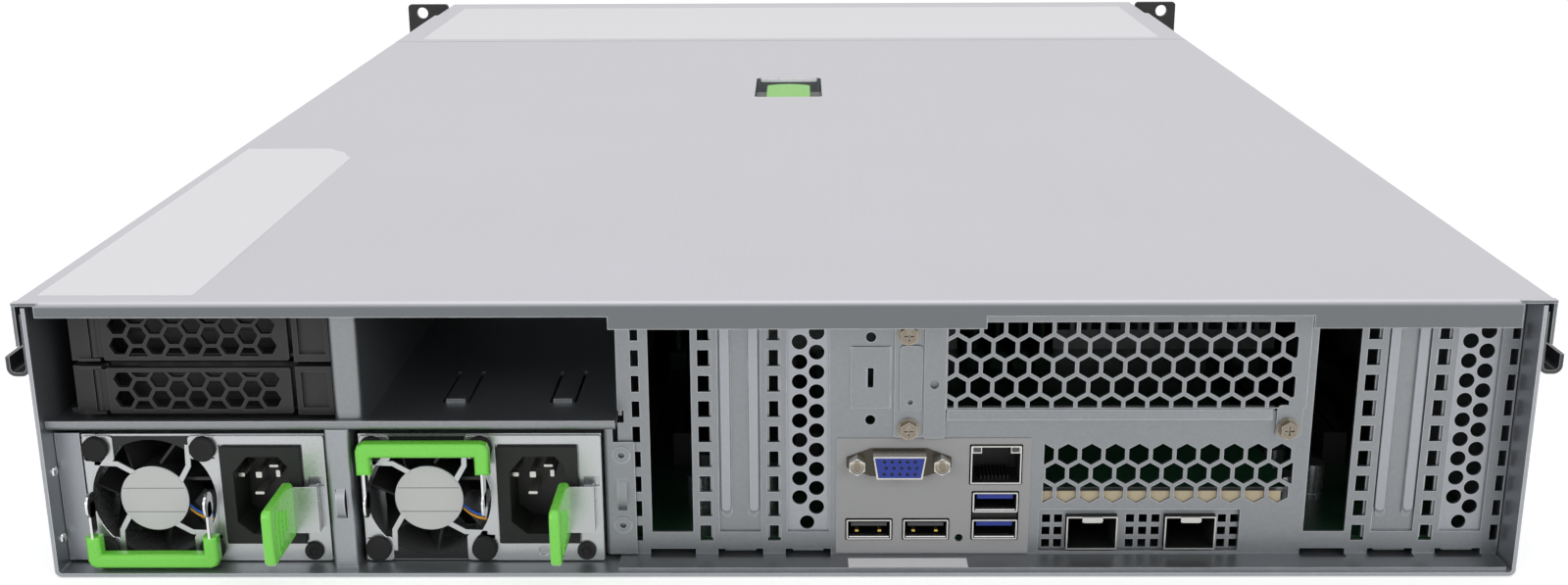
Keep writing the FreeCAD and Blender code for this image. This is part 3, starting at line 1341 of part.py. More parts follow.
def make_capacitors():
    """Electrolytic cans near the rear edge of the board, seen through the open slots."""
    places = [(left_slots[0] + 7, wall_back + 24), (left_slots[0] + 9, wall_back + 44),
              (left_slots[1] + 8, wall_back + 30), (right_slots[0] - 7, wall_back + 24),
              (right_slots[0] + 5, wall_back + 34), (right_slots[1] + 4, wall_back + 24),
              (left_slots[2] + 12, wall_back + 46), (right_slots[0] - 4, wall_back + 48)]
    cans = []
    for x, y in places:
        can = Part.makeCylinder(capacitor_radius, capacitor_height, FreeCAD.Vector(x, y, board_top))
        groove = rod(capacitor_radius + 1, (x, y, board_top + 1.8), (x, y, board_top + 2.6))
        cans.append(can.cut(groove.cut(rod(capacitor_radius - 0.4, (x, y, 0), (x, y, body_height)))))
    return cans


def make_shroud():
    """Moulded duct over the processors: a roof with side walls that stand on the board."""
    x = (sink_xs[0] - 4, sink_xs[1] + heatsink_size + 4)
    z = body_height - latch_pocket_depth - lid_gauge - 2
    path = [(x[0], board_top), (x[0], z), (x[1], z), (x[1], board_top)]
    return bent_sheet(path, 1.6, "xz", sink_y - 34, system_fan_y - 20, 3.0)


wheel_y = system_fan_y + 5.0 + running_gap


def fan_centres():
    step = 2 * inner / system_fans
    return [(-inner + step * (i + 0.5), floor + 0.4 + system_fan_size / 2) for i in range(system_fans)]


def make_fan_wall():
    """Cross wall that carries the system fans' frames, each with a motor mount on three struts."""
    y0, y1 = system_fan_y, system_fan_y + system_fan_depth
    z = (floor, floor + 0.8 + system_fan_size)
    wall = box((-inner + bend_radius, inner - bend_radius), (y1 - 2, y1), z)
    pieces, bores = [wall], []
    for cx, cz in fan_centres():
        half = system_fan_size / 2
        pieces.append(plate(rounded((cx - half, cx + half), (cz - half, cz + half), 4.0), "xz", y0, y1))
        bores.append(rod(system_fan_bore, (cx, y0 - 1, cz), (cx, y1 + 1, cz)))
    body = cut(fuse(pieces), bores)
    mounts = []
    for cx, cz in fan_centres():
        mounts.append(rod(system_fan_hub, (cx, y0, cz), (cx, y0 + 5, cz)))
        mounts.append(rod(shaft_radius, (cx, y0, cz), (cx, wheel_y + shaft_reach - running_gap, cz)))
        for i in range(3):
            strut = box((cx, cx + system_fan_bore + 0.4), (y0, y0 + 4), (cz - 2, cz + 2))
            strut.rotate(FreeCAD.Vector(cx, y0, cz), Y, 30 + i * 120)
            mounts.append(strut)
    return fuse([body, *mounts])


def make_power_board():
    """Board behind the supplies that their edge plugs enter, with a socket for each."""
    y0 = psu_setback + psu_length + 8 + 0.5
    board = box((-inner + 4, psu_bay_right - 2), (y0 + 4, y0 + 5.6), (floor, shelf_bottom - 3))
    sockets = []
    for left in psu_lefts:
        middle = left + psu_width / 2
        socket = box((middle - 26, middle + 26), (y0 - 6, y0 + 4), (psu_middle - 9, psu_middle + 1))
        slot = box((middle - 22 - sliding_gap, middle + 22 + sliding_gap), (y0 - 7, y0),
                   (psu_middle - 5 - sliding_gap, psu_middle - 3.4 + sliding_gap))
        sockets.append(socket.cut(slot))
    return fuse([board, *sockets])


add("motherboard", make_motherboard())
add("cpu_heatsinks", *[make_heatsink(x) for x in sink_xs])
add("memory_modules", *make_modules())
add("card_sockets", *make_card_sockets())
add("board_capacitors", *make_capacitors())
add("air_shroud", make_shroud())
add("fan_wall", make_fan_wall())
for number, centre in enumerate(fan_centres(), 1):
    add(f"system_fan_{number}", rotor(centre, wheel_y, system_fan_depth - 7, system_fan_hub,
                                      system_fan_bore - tip_gap, shaft_radius + pin_gap, shaft_reach))
add("power_board", make_power_board())


# ---------------------------------------------------------------- export about the footprint's middle
ends = [getattr(shape.BoundBox, side) for shape in nodes.values() for side in ("YMin", "YMax")]
origin_y = (min(ends) + max(ends)) / 2
os.makedirs("parts", exist_ok=True)
for name, shape in nodes.items():
    moved = shape.copy()
    moved.translate(FreeCAD.Vector(0, -origin_y, 0))
    moved.exportStep(f"parts/{name}.step")
print(len(nodes), "nodes; rear edge of the pan is", round(origin_y, 3), "mm behind the origin")
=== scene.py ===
# %% [markdown]
# # Dressing a two-unit rack server
#
# The solids of this server come from its CAD model. This notebook gives each of them the finish of
# the real thing: galvanised sheet, nickel-plated connectors, green handles, blank sheet labels and
# all the small parts that are too fine for the CAD model. Everything is in metres. The rear panel
# faces -Y, +X is on the right for someone who looks at it, and +Z is up.

# %% Load the frame
import bpy
import bmesh
import json
import math
from mathutils import Matrix, Vector
from mathutils.bvhtree import BVHTree


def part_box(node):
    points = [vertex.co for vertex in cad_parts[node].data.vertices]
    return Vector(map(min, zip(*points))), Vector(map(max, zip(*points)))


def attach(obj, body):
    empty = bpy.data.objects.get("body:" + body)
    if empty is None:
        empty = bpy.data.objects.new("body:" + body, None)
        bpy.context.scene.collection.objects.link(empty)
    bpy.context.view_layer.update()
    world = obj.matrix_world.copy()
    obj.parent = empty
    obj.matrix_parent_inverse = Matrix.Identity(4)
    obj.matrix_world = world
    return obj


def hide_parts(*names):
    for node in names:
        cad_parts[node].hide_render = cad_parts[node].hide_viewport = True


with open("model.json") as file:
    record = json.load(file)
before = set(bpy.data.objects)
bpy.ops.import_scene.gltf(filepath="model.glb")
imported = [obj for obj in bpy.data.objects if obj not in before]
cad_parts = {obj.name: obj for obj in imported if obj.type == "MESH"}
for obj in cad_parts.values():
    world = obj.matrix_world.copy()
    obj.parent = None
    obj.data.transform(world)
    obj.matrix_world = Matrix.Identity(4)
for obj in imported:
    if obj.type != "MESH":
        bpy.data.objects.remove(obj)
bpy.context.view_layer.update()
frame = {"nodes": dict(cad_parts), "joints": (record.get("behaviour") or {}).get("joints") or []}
nodes = frame["nodes"]


# %% [markdown]
# ## Reading places from the solids
#
# Small parts sit on the solids, so their places are worked out from the boxes of the CAD nodes. If
# the CAD model changes, they move with it. Sizes are easier to read in millimetres, so one name
# turns them into metres.

# %% Places and units
mm = 0.001


def low(node):
    return Vector(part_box(node)[0])


def high(node):
    return Vector(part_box(node)[1])


def middle(node):
    return (low(node) + high(node)) / 2


rear_edge = low("chassis_pan").y
lid_top = high("lid").z
print("rear edge at y =", round(rear_edge, 4), "and lid top at z =", round(lid_top, 4))


# %% [markdown]
# ## Camera
#
# The server stands square to the viewer, is seen from a little above and fills the frame from edge to
# edge. A slightly long lens half a metre behind the rear panel gives that view. The lens is shifted
# up a little, as on a technical camera, so that the far end of the lid stays in the frame.

# %% Camera
camera_data = bpy.data.cameras.new("camera")
camera_data.sensor_width = 36
camera_data.lens = 42.582
camera_data.shift_y = 0.0384
camera_data.clip_start = 0.01
camera = bpy.data.objects.new("camera", camera_data)
bpy.context.scene.collection.objects.link(camera)
bpy.context.scene.camera = camera
camera_place = Vector((5.19 * mm, rear_edge - 503.31 * mm, 228.26 * mm))
camera_tilt = math.radians(90 - 17.508)
camera_turn = math.radians(0.519)
camera_roll = math.radians(-0.258)
camera.matrix_world = (
    Matrix.Translation(camera_place)
    @ Matrix.Rotation(camera_turn, 4, "Z")
    @ Matrix.Rotation(camera_tilt, 4, "X")
    @ Matrix.Rotation(camera_roll, 4, "Z")
)
print("camera looks from", [round(v, 3) for v in camera_place])


# %% [markdown]
# ## Wiring shader nodes
#
# The world, the floor and every material are small graphs of nodes. A few helpers make them short to
# write: one adds a node, one joins a socket or a plain number to another socket, and the others add
# the sums that are needed again and again.

# %% Helpers: nodes and sums
def node(tree, kind, **settings):
    made = tree.nodes.new("ShaderNode" + kind)
    for key, value in settings.items():
        setattr(made, key, value)
    return made


def link(tree, source, target):
    """Connects a socket, or writes a plain value, into another socket."""
    if isinstance(source, bpy.types.NodeSocket):
        tree.links.new(source, target)
    else:
        target.default_value = source


def maths(tree, operation, *values):
    made = node(tree, "Math", operation=operation)
    for value, socket in zip(values, made.inputs):
        link(tree, value, socket)
    return made.outputs[0]


def vector_maths(tree, operation, *values):
    """Outputs of a sum on places: the first is a place, the one named Value is a number."""
    made = node(tree, "VectorMath", operation=operation)
    for value, socket in zip(values, made.inputs):
        link(tree, value, socket)
    return made.outputs


def remap(tree, value, low_in, high_in, low_out=0.0, high_out=1.0):
    made = node(tree, "MapRange")
    for entry, socket in zip((value, low_in, high_in, low_out, high_out), made.inputs):
        link(tree, entry, socket)
    return made.outputs[0]


print("helpers for nodes ready")


# %% [markdown]
# ## Light and ground
#
# The server stands on white in even, soft light: the lid is clearly brighter than the upright rear
# panel, and no lamp shows as a hard spot. One large lamp overhead lights the lid, and two
# weaker ones beside the camera fill the rear panel. The world is white where it is looked at or
# mirrored, and dimmer where it lights the object, so that a colour shows about as it is written.

# %% White room
def looked_at(tree):
    """1 for a ray that comes from the camera, a mirror or glass, 0 for one that carries light."""
    path = node(tree, "LightPath").outputs
    either = maths(tree, "MAXIMUM", path["Is Camera Ray"], path["Is Glossy Ray"])
    return maths(tree, "MAXIMUM", either, path["Is Transmission Ray"])


bpy.context.scene.view_settings.view_transform = "Standard"
world = bpy.data.worlds.new("white_room")
bpy.context.scene.world = world
world.use_nodes = True
room = world.node_tree
room.nodes.clear()
background = node(room, "Background")
background.inputs["Color"].default_value = (1, 1, 1, 1)
seen, lighting = 1.0, 0.4
link(room, remap(room, looked_at(room), 0.0, 1.0, lighting, seen), background.inputs["Strength"])
link(room, background.outputs["Background"], node(room, "OutputWorld").inputs["Surface"])
print("room is", seen, "to the eye and", lighting, "as light")


# %% Lamps
def area_lamp(name, place, target, size, watts):
    data = bpy.data.lights.new(name, "AREA")
    data.shape = "RECTANGLE"
    data.size, data.size_y = size
    data.energy = watts
    lamp = bpy.data.objects.new(name, data)
    lamp.location = place
    lamp.rotation_euler = (Vector(target) - Vector(place)).to_track_quat("-Z", "Y").to_euler()
    bpy.context.scene.collection.objects.link(lamp)


area_lamp("overhead", (0, 0.1, 1.6), (0, 0.05, 0), (2.0, 2.0), 11.5)
area_lamp("left_fill", (-1.1, -1.5, 0.7), (0, -0.3, 0), (1.0, 0.8), 7)
area_lamp("right_fill", (1.1, -1.5, 0.7), (0, -0.3, 0), (1.0, 0.8), 7)
print("one lamp overhead and two at the sides")


# %% [markdown]
# **Floor.** It is a wide pale sheet. It reads as pure white, but it still takes the soft shadow of the
# server, so the server stands on it and doesn't float. A glow that only the eye, mirrors and glass
# can see lifts the sheet to white, and adds no light to the server.

# %% Floor
def new_material(name):
    material = bpy.data.materials.new(name)
    material.use_nodes = True
    return material


def principled(material):
    return material.node_tree.nodes["Principled BSDF"]


floor_mesh = bpy.data.meshes.new("floor")
far = 6.0
floor_mesh.from_pydata([(-far, -far, 0), (far, -far, 0), (far, far, 0), (-far, far, 0)], [], [(0, 1, 2, 3)])
floor = bpy.data.objects.new("floor", floor_mesh)
floor.location.z = -0.3 * mm   # a hair under the pan, so that the two don't share a plane
bpy.context.scene.collection.objects.link(floor)
floor_paper = new_material("floor_paper")
paper_shader = principled(floor_paper)
paper_shader.inputs["Base Color"].default_value = (0.8, 0.8, 0.8, 1)
paper_shader.inputs["Roughness"].default_value = 0.9
paper_shader.inputs["Emission Color"].default_value = (1, 1, 1, 1)
glow = maths(floor_paper.node_tree, "MULTIPLY", looked_at(floor_paper.node_tree), 0.5)
link(floor_paper.node_tree, glow, paper_shader.inputs["Emission Strength"])
floor_mesh.materials.append(floor_paper)
print("floor laid")


# %% [markdown]
# ## Shared effects
#
# Real sheet metal is never one even colour. Zinc grows in crystals that catch the light a little
# differently, rolled sheet has faint lines, and every bent edge gets a painted highlight. Effects like these
# are used by many materials, so each becomes a node group: a small machine with named inputs and
# outputs that any material can hold. A group only gives out colours, masks and heights; the shader
# itself stays in the material.

# %% Helpers for node groups
def linear(red, green, blue):
    """A colour as painters and screens name it, from 0 to 255, turned into light."""
    parts = []
    for value in (red, green, blue):
        value /= 255
        parts.append(value / 12.92 if value <= 0.04045 else ((value + 0.055) / 1.055) ** 2.4)
    return (*parts, 1)


KINDS = {"colour": "NodeSocketColor", "value": "NodeSocketFloat", "place": "NodeSocketVector"}


def new_group(name, inputs, outputs):
    """Empty shader node group with its sockets, and the nodes that stand for its two ends."""
    group = bpy.data.node_groups.new(name, "ShaderNodeTree")
    for label, kind, start in inputs:
        socket = group.interface.new_socket(name=label, in_out="INPUT", socket_type=KINDS[kind])
        socket.default_value = start
    for label, kind in outputs:
        group.interface.new_socket(name=label, in_out="OUTPUT", socket_type=KINDS[kind])
    return group, group.nodes.new("NodeGroupInput").outputs, group.nodes.new("NodeGroupOutput").inputs


def blend_colours(tree, share, first, second):
    made = node(tree, "Mix", data_type="RGBA")
    link(tree, share, made.inputs["Factor"])
    link(tree, first, made.inputs["A"])
    link(tree, second, made.inputs["B"])
    return made.outputs["Result"]


def noise(tree, place, scale, detail=3.0, roughness=0.55):
    made = node(tree, "TexNoise")
    link(tree, place, made.inputs["Vector"])
    link(tree, scale, made.inputs["Scale"])
    made.inputs["Detail"].default_value = detail
    made.inputs["Roughness"].default_value = roughness
    return made.outputs[0]


def uneven_by(tree, pattern, strength, start):
    """A value that wanders about start as a pattern of noise wanders about its middle."""
    return maths(tree, "MULTIPLY_ADD", maths(tree, "SUBTRACT", pattern, 0.5), strength, start)


print("helpers for groups ready")


# %% [markdown]
# **Zinc sheet.** Galvanised steel shows a fine mottle from its crystals, long faint rolling lines and
# a few cloudy patches where it was handled. A noise stretched along one axis makes the lines. Two
# more noises, one fine and one wide, make the mottle and the clouds.

# %% Group: zinc sheet
def make_zinc_group():
    group, inputs, outputs = new_group(
        "zinc_sheet",
        [("Colour", "colour", (0.5, 0.5, 0.5, 1)), ("Mottle", "value", 0.1), ("Lines", "value", 0.06),
         ("Clouds", "value", 0.06), ("Shine", "value", 0.4)],
        [("Colour", "colour"), ("Roughness", "value"), ("Height", "value")])
    place = node(group, "TexCoord").outputs["Object"]
    fine = noise(group, place, 900, 2)
    wide = noise(group, place, 14, 4)
    stretched = node(group, "Mapping")
    stretched.inputs["Scale"].default_value = (700, 6, 700)
    link(group, place, stretched.inputs["Vector"])
    lines = noise(group, stretched.outputs[0], 1.0, 2)
    total = 1.0
    for pattern, strength in ((fine, "Mottle"), (lines, "Lines"), (wide, "Clouds")):
        total = uneven_by(group, pattern, inputs[strength], total)
    shade = node(group, "VectorMath", operation="SCALE")
    link(group, inputs["Colour"], shade.inputs[0])
    link(group, total, shade.inputs["Scale"])
    link(group, shade.outputs[0], outputs["Colour"])
    rough = uneven_by(group, wide, 0.12, uneven_by(group, fine, 0.12, inputs["Shine"]))
    link(group, rough, outputs["Roughness"])
    link(group, maths(group, "ADD", fine, maths(group, "MULTIPLY", lines, 0.5)), outputs["Height"])
    return group


zinc_sheet = make_zinc_group()
print("group", zinc_sheet.name, "ready")


# %% [markdown]
# ** Edge highlights.** Where two faces meet, a rounded edge catches light; that highlight is painted into the
# colour here. The Bevel node gives the direction a surface would have if its edges were rounded. Where that differs
# from the true direction, an edge is near, and the difference makes a mask.

# %% Group: painted edge highlights
def make_edge_group():
    group, inputs, outputs = new_group(
        "edge_highlights", [("Width", "value", 0.0005), ("Uneven", "value", 0.5)], [("Mask", "value")])
    bevel = node(group, "Bevel", samples=4)
    link(group, inputs["Width"], bevel.inputs["Radius"])
    true_direction = node(group, "NewGeometry").outputs["Normal"]
    alike = vector_maths(group, "DOT_PRODUCT", bevel.outputs[0], true_direction)["Value"]
    edge = remap(group, alike, 0.995, 0.85)
    spots = noise(group, node(group, "TexCoord").outputs["Object"], 180, 3)
    uneven = remap(group, spots, 0.35, 0.65, maths(group, "SUBTRACT", 1.0, inputs["Uneven"]), 1.0)
    link(group, maths(group, "MULTIPLY", edge, uneven), outputs["Mask"])
    return group


edge_highlights = make_edge_group()
print("group", edge_highlights.name, "ready")


# %% [markdown]
# ** Painted reflection from above.** Bare sheet mirrors what is in front of it: the bright ceiling from
# above, the darker room from the side. A mask of how far a face looks up lets a painted reflection make faces that
# look up lighter than the sides.

# %% Group: painted reflection from above
def make_facing_group():
    group, inputs, outputs = new_group("painted_reflection_mask", [], [("Mask", "value")])
    split = node(group, "SeparateXYZ")
    link(group, node(group, "NewGeometry").outputs["Normal"], split.inputs[0])
    link(group, remap(group, split.outputs["Z"], 0.25, 0.85), outputs["Mask"])
    return group


painted_reflection_mask = make_facing_group()
print("group", painted_reflection_mask.name, "ready")


# %% [markdown]
# **Moulded grain.** Plastic mouldings have a fine leathery grain from the spark-eroded tool. It barely
# changes the colour, but it breaks up the reflections. A small bump and a change of roughness do it.

# %% Group: moulded grain
def make_grain_group():
    group, inputs, outputs = new_group(
        "moulded_grain",
        [("Colour", "colour", (0.1, 0.1, 0.1, 1)), ("Size", "value", 1400.0), ("Shine", "value", 0.45),
         ("Dust", "value", 0.1)],
        [("Colour", "colour"), ("Roughness", "value"), ("Height", "value")])
    place = node(group, "TexCoord").outputs["Object"]
    grain = noise(group, place, inputs["Size"], 2)
    wide = noise(group, place, 45, 4)
    up = node(group, "SeparateXYZ")
    link(group, node(group, "NewGeometry").outputs["Normal"], up.inputs[0])
    settled = maths(group, "MULTIPLY", remap(group, up.outputs["Z"], -0.2, 1.0, 0.35, 1.0),
                    remap(group, wide, 0.35, 0.75))
    dusty = maths(group, "MULTIPLY", settled, inputs["Dust"])
    dust_colour = linear(150, 148, 142)
    link(group, blend_colours(group, dusty, inputs["Colour"], dust_colour), outputs["Colour"])
    rough = uneven_by(group, grain, 0.2, inputs["Shine"])
    link(group, maths(group, "ADD", rough, maths(group, "MULTIPLY", dusty, 0.5)), outputs["Roughness"])
    link(group, grain, outputs["Height"])
    return group


moulded_grain = make_grain_group()
print("group", moulded_grain.name, "ready")


# %% [markdown]
# **Paint by place.** Some CAD solids join things of different colours, such as the tinned shell of a
# socket and its black inside. A mask that is 1 inside a block of space lets one material hold both
# finishes without cutting the mesh.

# %% Group: block of space
def make_block_group():
    group, inputs, outputs = new_group(
        "block_of_space", [("Low", "place", (0, 0, 0)), ("High", "place", (1, 1, 1))], [("Mask", "value")])
    place = node(group, "TexCoord").outputs["Object"]
    above = vector_maths(group, "SUBTRACT", place, inputs["Low"])[0]
    below = vector_maths(group, "SUBTRACT", inputs["High"], place)[0]
    split = node(group, "SeparateXYZ")
    link(group, vector_maths(group, "MINIMUM", above, below)[0], split.inputs[0])
    x, y, z = split.outputs
    least = maths(group, "MINIMUM", maths(group, "MINIMUM", x, y), z)
    link(group, maths(group, "GREATER_THAN", least, 0.0), outputs["Mask"])
    return group


block_of_space = make_block_group()
print("group", block_of_space.name, "ready")


# %% [markdown]
# ## Materials
#
# Each finish is one function that places the shared groups and sets its own values. Sheet metal is
# mostly metallic, so it mirrors the white room softly. Plastics are not metallic and get the moulded
# grain instead.

# %% Helpers for materials
def use_group(tree, group, **values):
    made = node(tree, "Group", node_tree=group)
    for label, value in values.items():
        link(tree, value, made.inputs[label.replace("_", " ")])
    return made


def bump(tree, height, strength, distance=0.1 * mm):
    made = node(tree, "Bump")
    made.inputs["Strength"].default_value = strength
    made.inputs["Distance"].default_value = distance
    link(tree, height, made.inputs["Height"])
    return made.outputs[0]


def with_edge_highlight(tree, colour, strength, highlight_colour, width=0.5 * mm):
    """A colour with a painted highlight: it turns to another near edges."""
    share = maths(tree, "MULTIPLY", use_group(tree, edge_highlights, Width=width).outputs["Mask"], strength)
    return blend_colours(tree, share, colour, linear(*highlight_colour))


def connect_finish(tree, shader, colour, finish, depth):
    """Joins a colour, and the roughness and height of a placed group, to the shader."""
    link(tree, colour, shader.inputs["Base Color"])
    link(tree, finish.outputs["Roughness"], shader.inputs["Roughness"])
    link(tree, bump(tree, finish.outputs["Height"], depth), shader.inputs["Normal"])


print("helpers for materials ready")


# %% [markdown]
# ** Sheet metal.** The pan, walls and covers are zinc-coated steel, grey and mottled. The lid's upper
# face is painted lighter than its sides as a reflection, the supplies are plain polished steel, sockets have tinned
# shells, and straps and rivets shine like chrome. Each has its own colour, shine, mottle and painted edge highlight
# in one recipe.

# %% Materials: sheet metal
def sheet_metal(name, colour, metal=0.85, shine=0.4, mottle=0.1, lines=0.06, clouds=0.08, edge=0.35,
                highlight_colour=(225, 226, 228), top=None):
    """Sheet metal finish; top is a painted reflection from above: the colour of faces that look up, if that
    differs.
    """
    material = new_material(name)
    tree = material.node_tree
    shader = principled(material)
    base = linear(*colour)
    # Faces that look up get the top colour: a painted reflection of the bright ceiling.
    if top:
        base = blend_colours(tree, use_group(tree, painted_reflection_mask).outputs["Mask"], base, linear(*top))
    sheet = use_group(tree, zinc_sheet, Colour=base, Mottle=mottle, Lines=lines, Clouds=clouds,
                      Shine=shine)
    colour_out = sheet.outputs["Colour"]
    # Edges get a painted highlight in the edge colour.
    if edge:
        colour_out = with_edge_highlight(tree, colour_out, edge, highlight_colour)
    connect_finish(tree, shader, colour_out, sheet, 0.06)
    shader.inputs["Metallic"].default_value = metal
    return material


# The lid's upper face is painted lighter than its sides, as a reflection of the bright ceiling.
lid_steel = sheet_metal("lid_steel", (110, 114, 117), metal=0.5, shine=0.45, mottle=0.05, lines=0.03,
                        clouds=0.05, edge=0.85, highlight_colour=(232, 232, 234), top=(197, 196, 202))
zinc_steel = sheet_metal("zinc_steel", (136, 139, 142), mottle=0.2, clouds=0.16, edge=0.6)
pan_steel = sheet_metal("pan_steel", (156, 159, 164), mottle=0.16, clouds=0.16, edge=0.6)
cage_steel = sheet_metal("cage_steel", (98, 101, 104), mottle=0.14, clouds=0.14, edge=0.3)
rail_steel = sheet_metal("rail_steel", (72, 74, 76), shine=0.35, clouds=0.2, edge=0.5)
supply_steel = sheet_metal("supply_steel", (186, 188, 190), shine=0.3, mottle=0.08, clouds=0.1, edge=0.5)
tinned_shell = sheet_metal("tinned_shell", (196, 195, 190), shine=0.25, mottle=0.05, lines=0.1, clouds=0.1)
nickel_screw = sheet_metal("nickel_screw", (132, 123, 108), shine=0.3, mottle=0.06, clouds=0.2, edge=0.5)
panel_paint = sheet_metal("panel_paint", (156, 156, 157), metal=0.1, shine=0.55, mottle=0.04, lines=0.0,
                          clouds=0.05, edge=0)
heatsink_alloy = sheet_metal("heatsink_alloy", (200, 202, 205), shine=0.35, mottle=0.04, lines=0.2, edge=0)
can_alloy = sheet_metal("can_alloy", (178, 180, 184), shine=0.25, mottle=0.02, lines=0.0, edge=0)
chrome_steel = sheet_metal("chrome_steel", (222, 222, 224), metal=0.95, shine=0.16, mottle=0.03, lines=0.03,
                           clouds=0.2, edge=0)
# Near-white painted highlight for the rolled edge of the latch pocket.
roll_highlight = sheet_metal("roll_highlight", (246, 246, 248), metal=0.1, shine=0.3, mottle=0.03, edge=0)
contact_gold = sheet_metal("contact_gold", (214, 182, 92), shine=0.25, mottle=0.0, lines=0.0, edge=0)
print("metals ready")


# %% [markdown]
# **Plastics and boards.** The carriers, ears and inlets are black mouldings, the touch points a glossy
# green, and the boards a dark green laminate. Grain size, dust and shine tell them apart. Dull dark
# plastics also get a weaker mirror, or they would look grey in a white room.

# %% Materials: plastics and boards
def plastic(name, colour, shine=0.45, grain=1400.0, dust=0.1, depth=0.15, coat=0.0, edge=0.0,
            mirror=0.5):
    material = new_material(name)
    tree = material.node_tree
    shader = principled(material)
    grained = use_group(tree, moulded_grain, Colour=linear(*colour), Size=grain, Shine=shine, Dust=dust)
    colour_out = grained.outputs["Colour"]
    # Edges of dark plastics get a painted highlight.
    if edge:
        colour_out = with_edge_highlight(tree, colour_out, edge, (112, 112, 116))
    connect_finish(tree, shader, colour_out, grained, depth)
    shader.inputs["Coat Weight"].default_value = coat
    shader.inputs["Specular IOR Level"].default_value = mirror
    return material


black_plastic = plastic("black_plastic", (30, 30, 31), shine=0.42, edge=0.45, mirror=0.4)
door_plastic = plastic("door_plastic", (34, 34, 35), shine=0.42, dust=0.05, edge=0.6, mirror=0.4)
fan_black = plastic("fan_black", (26, 26, 28), shine=0.35, dust=0.05, mirror=0.35)
inlet_black = plastic("inlet_black", (33, 35, 34), shine=0.55, dust=0.05, mirror=0.25)
rubber_black = plastic("rubber_black", (34, 34, 35), shine=0.7, dust=0.08, mirror=0.2)
green_plastic = plastic("green_plastic", (124, 222, 78), shine=0.3, grain=600, dust=0.0, depth=0.05, coat=0.3)
latch_green = plastic("latch_green", (124, 200, 76), shine=0.4, grain=600, dust=0.02, depth=0.05)
board_green = plastic("board_green", (22, 62, 40), shine=0.4, grain=300, dust=0.05)
socket_black = plastic("socket_black", (24, 24, 25), shine=0.45, dust=0.05)
port_blue = plastic("port_blue", (26, 50, 146), shine=0.4, dust=0.0)
port_grey = plastic("port_grey", (66, 67, 69), shine=0.4, dust=0.0)
board_edge = plastic("board_edge", (186, 172, 144), shine=0.5, dust=0.1)
wire_blue = plastic("wire_blue", (28, 92, 200), shine=0.35, dust=0.0)
wire_yellow = plastic("wire_yellow", (226, 158, 40), shine=0.35, dust=0.0)
print("plastics ready")


# %% [markdown]
# ## Giving each solid its finish
#
# Most CAD solids have one finish all over, so a plain list pairs them.

# %% Finishes of the solids
def dress(node_name, material):
    mesh = nodes[node_name].data
    mesh.materials.clear()
    mesh.materials.append(material)


FINISHES = {
    lid_steel: ["lid", "front_cover"],
    zinc_steel: ["rear_wall", "upper_vent_cover", "ribbed_slot_covers", "bay_shelf", "bay_walls",
                 "psu_bracket"],
    pan_steel: ["chassis_pan", "psu_divider", "perforated_slot_covers"],
    cage_steel: ["rear_drive_cage", "front_cage"],
    rail_steel: ["slide_rails"],
    supply_steel: ["psu_left_case", "psu_right_case"],
    tinned_shell: ["vga_port", "lan_port", "usb_ports", "sfp_cages"],
    nickel_screw: ["flange_screws"],
    panel_paint: ["io_panel"],
    heatsink_alloy: ["cpu_heatsinks"],
    board_green: ["motherboard", "memory_modules", "drive_backplane", "power_board"],
    socket_black: ["card_sockets", "air_shroud"],
    can_alloy: ["board_capacitors"],
    fan_black: ["fan_wall", "psu_left_fan", "psu_right_fan"] + [f"system_fan_{i}" for i in range(1, 5)],
    inlet_black: ["psu_left_inlet", "psu_right_inlet"],
    green_plastic: ["psu_left_bail", "psu_right_bail", "psu_left_latch", "psu_right_latch"],
    latch_green: ["lid_button"],
    black_plastic: ["ear_left", "ear_right", "drive_blanks", "power_button", "identify_button",
                    "rear_carrier_lower", "rear_carrier_upper", "rear_carrier_lower_door",
                    "rear_carrier_upper_door", "front_carrier_1", "front_carrier_2",
                    "front_carrier_1_lever", "front_carrier_2_lever"],
}
for material, names in FINISHES.items():
    for name in names:
        dress(name, material)
print(sum(len(names) for names in FINISHES.values()), "solids have their finish")


# %% [markdown]
# ** Two finishes on one solid.** The display socket's flange is dark nickel round a tinned shell, the
# other sockets are dark inside, black housing in part and painted shade in the recesses, the card behind the vents
# is a green board on a zinc bracket, and the wings beside the latch button are grey. Masks by place, in the solid's
# own space, put the second finish where it belongs, and they stay on the piece when it moves.

# %% Materials with a second finish
def two_finishes(name, base, second, masks):
    """Copy of a material that changes to a second colour, roughness and metal inside the masks."""
    material = base.copy()
    material.name = name
    tree = material.node_tree
    shader = principled(material)
    total = None
    for corners in masks:
        mask = use_group(tree, block_of_space, **corners).outputs["Mask"]
        total = mask if total is None else maths(tree, "MAXIMUM", total, mask)
    colour, roughness, metal = second
    colour_in = shader.inputs["Base Color"].links[0].from_socket
    rough_in = shader.inputs["Roughness"].links[0].from_socket
    start = shader.inputs["Metallic"].default_value
    link(tree, blend_colours(tree, total, colour_in, linear(*colour)), shader.inputs["Base Color"])
    link(tree, remap(tree, total, 0.0, 1.0, rough_in, roughness), shader.inputs["Roughness"])
    link(tree, remap(tree, total, 0.0, 1.0, start, metal), shader.inputs["Metallic"])
    return material


FAR = 1.0   # metres, well past the server on every side


def block(x0=-FAR, y0=-FAR, x1=FAR, y1=FAR):
    """Corners of all the space between two x and two y, at any height."""
    return {"Low": (x0, y0, -FAR), "High": (x1, y1, FAR)}


dark_nickel = ((70, 66, 60), 0.22, 0.95)
# Dark insides of the sockets: black housing in part, painted shade in the recesses.
dark_housing_and_shade = ((16, 16, 17), 0.5, 0.0)
green_board = ((22, 62, 40), 0.4, 0.0)
grey_wing = ((74, 76, 74), 0.5, 0.0)

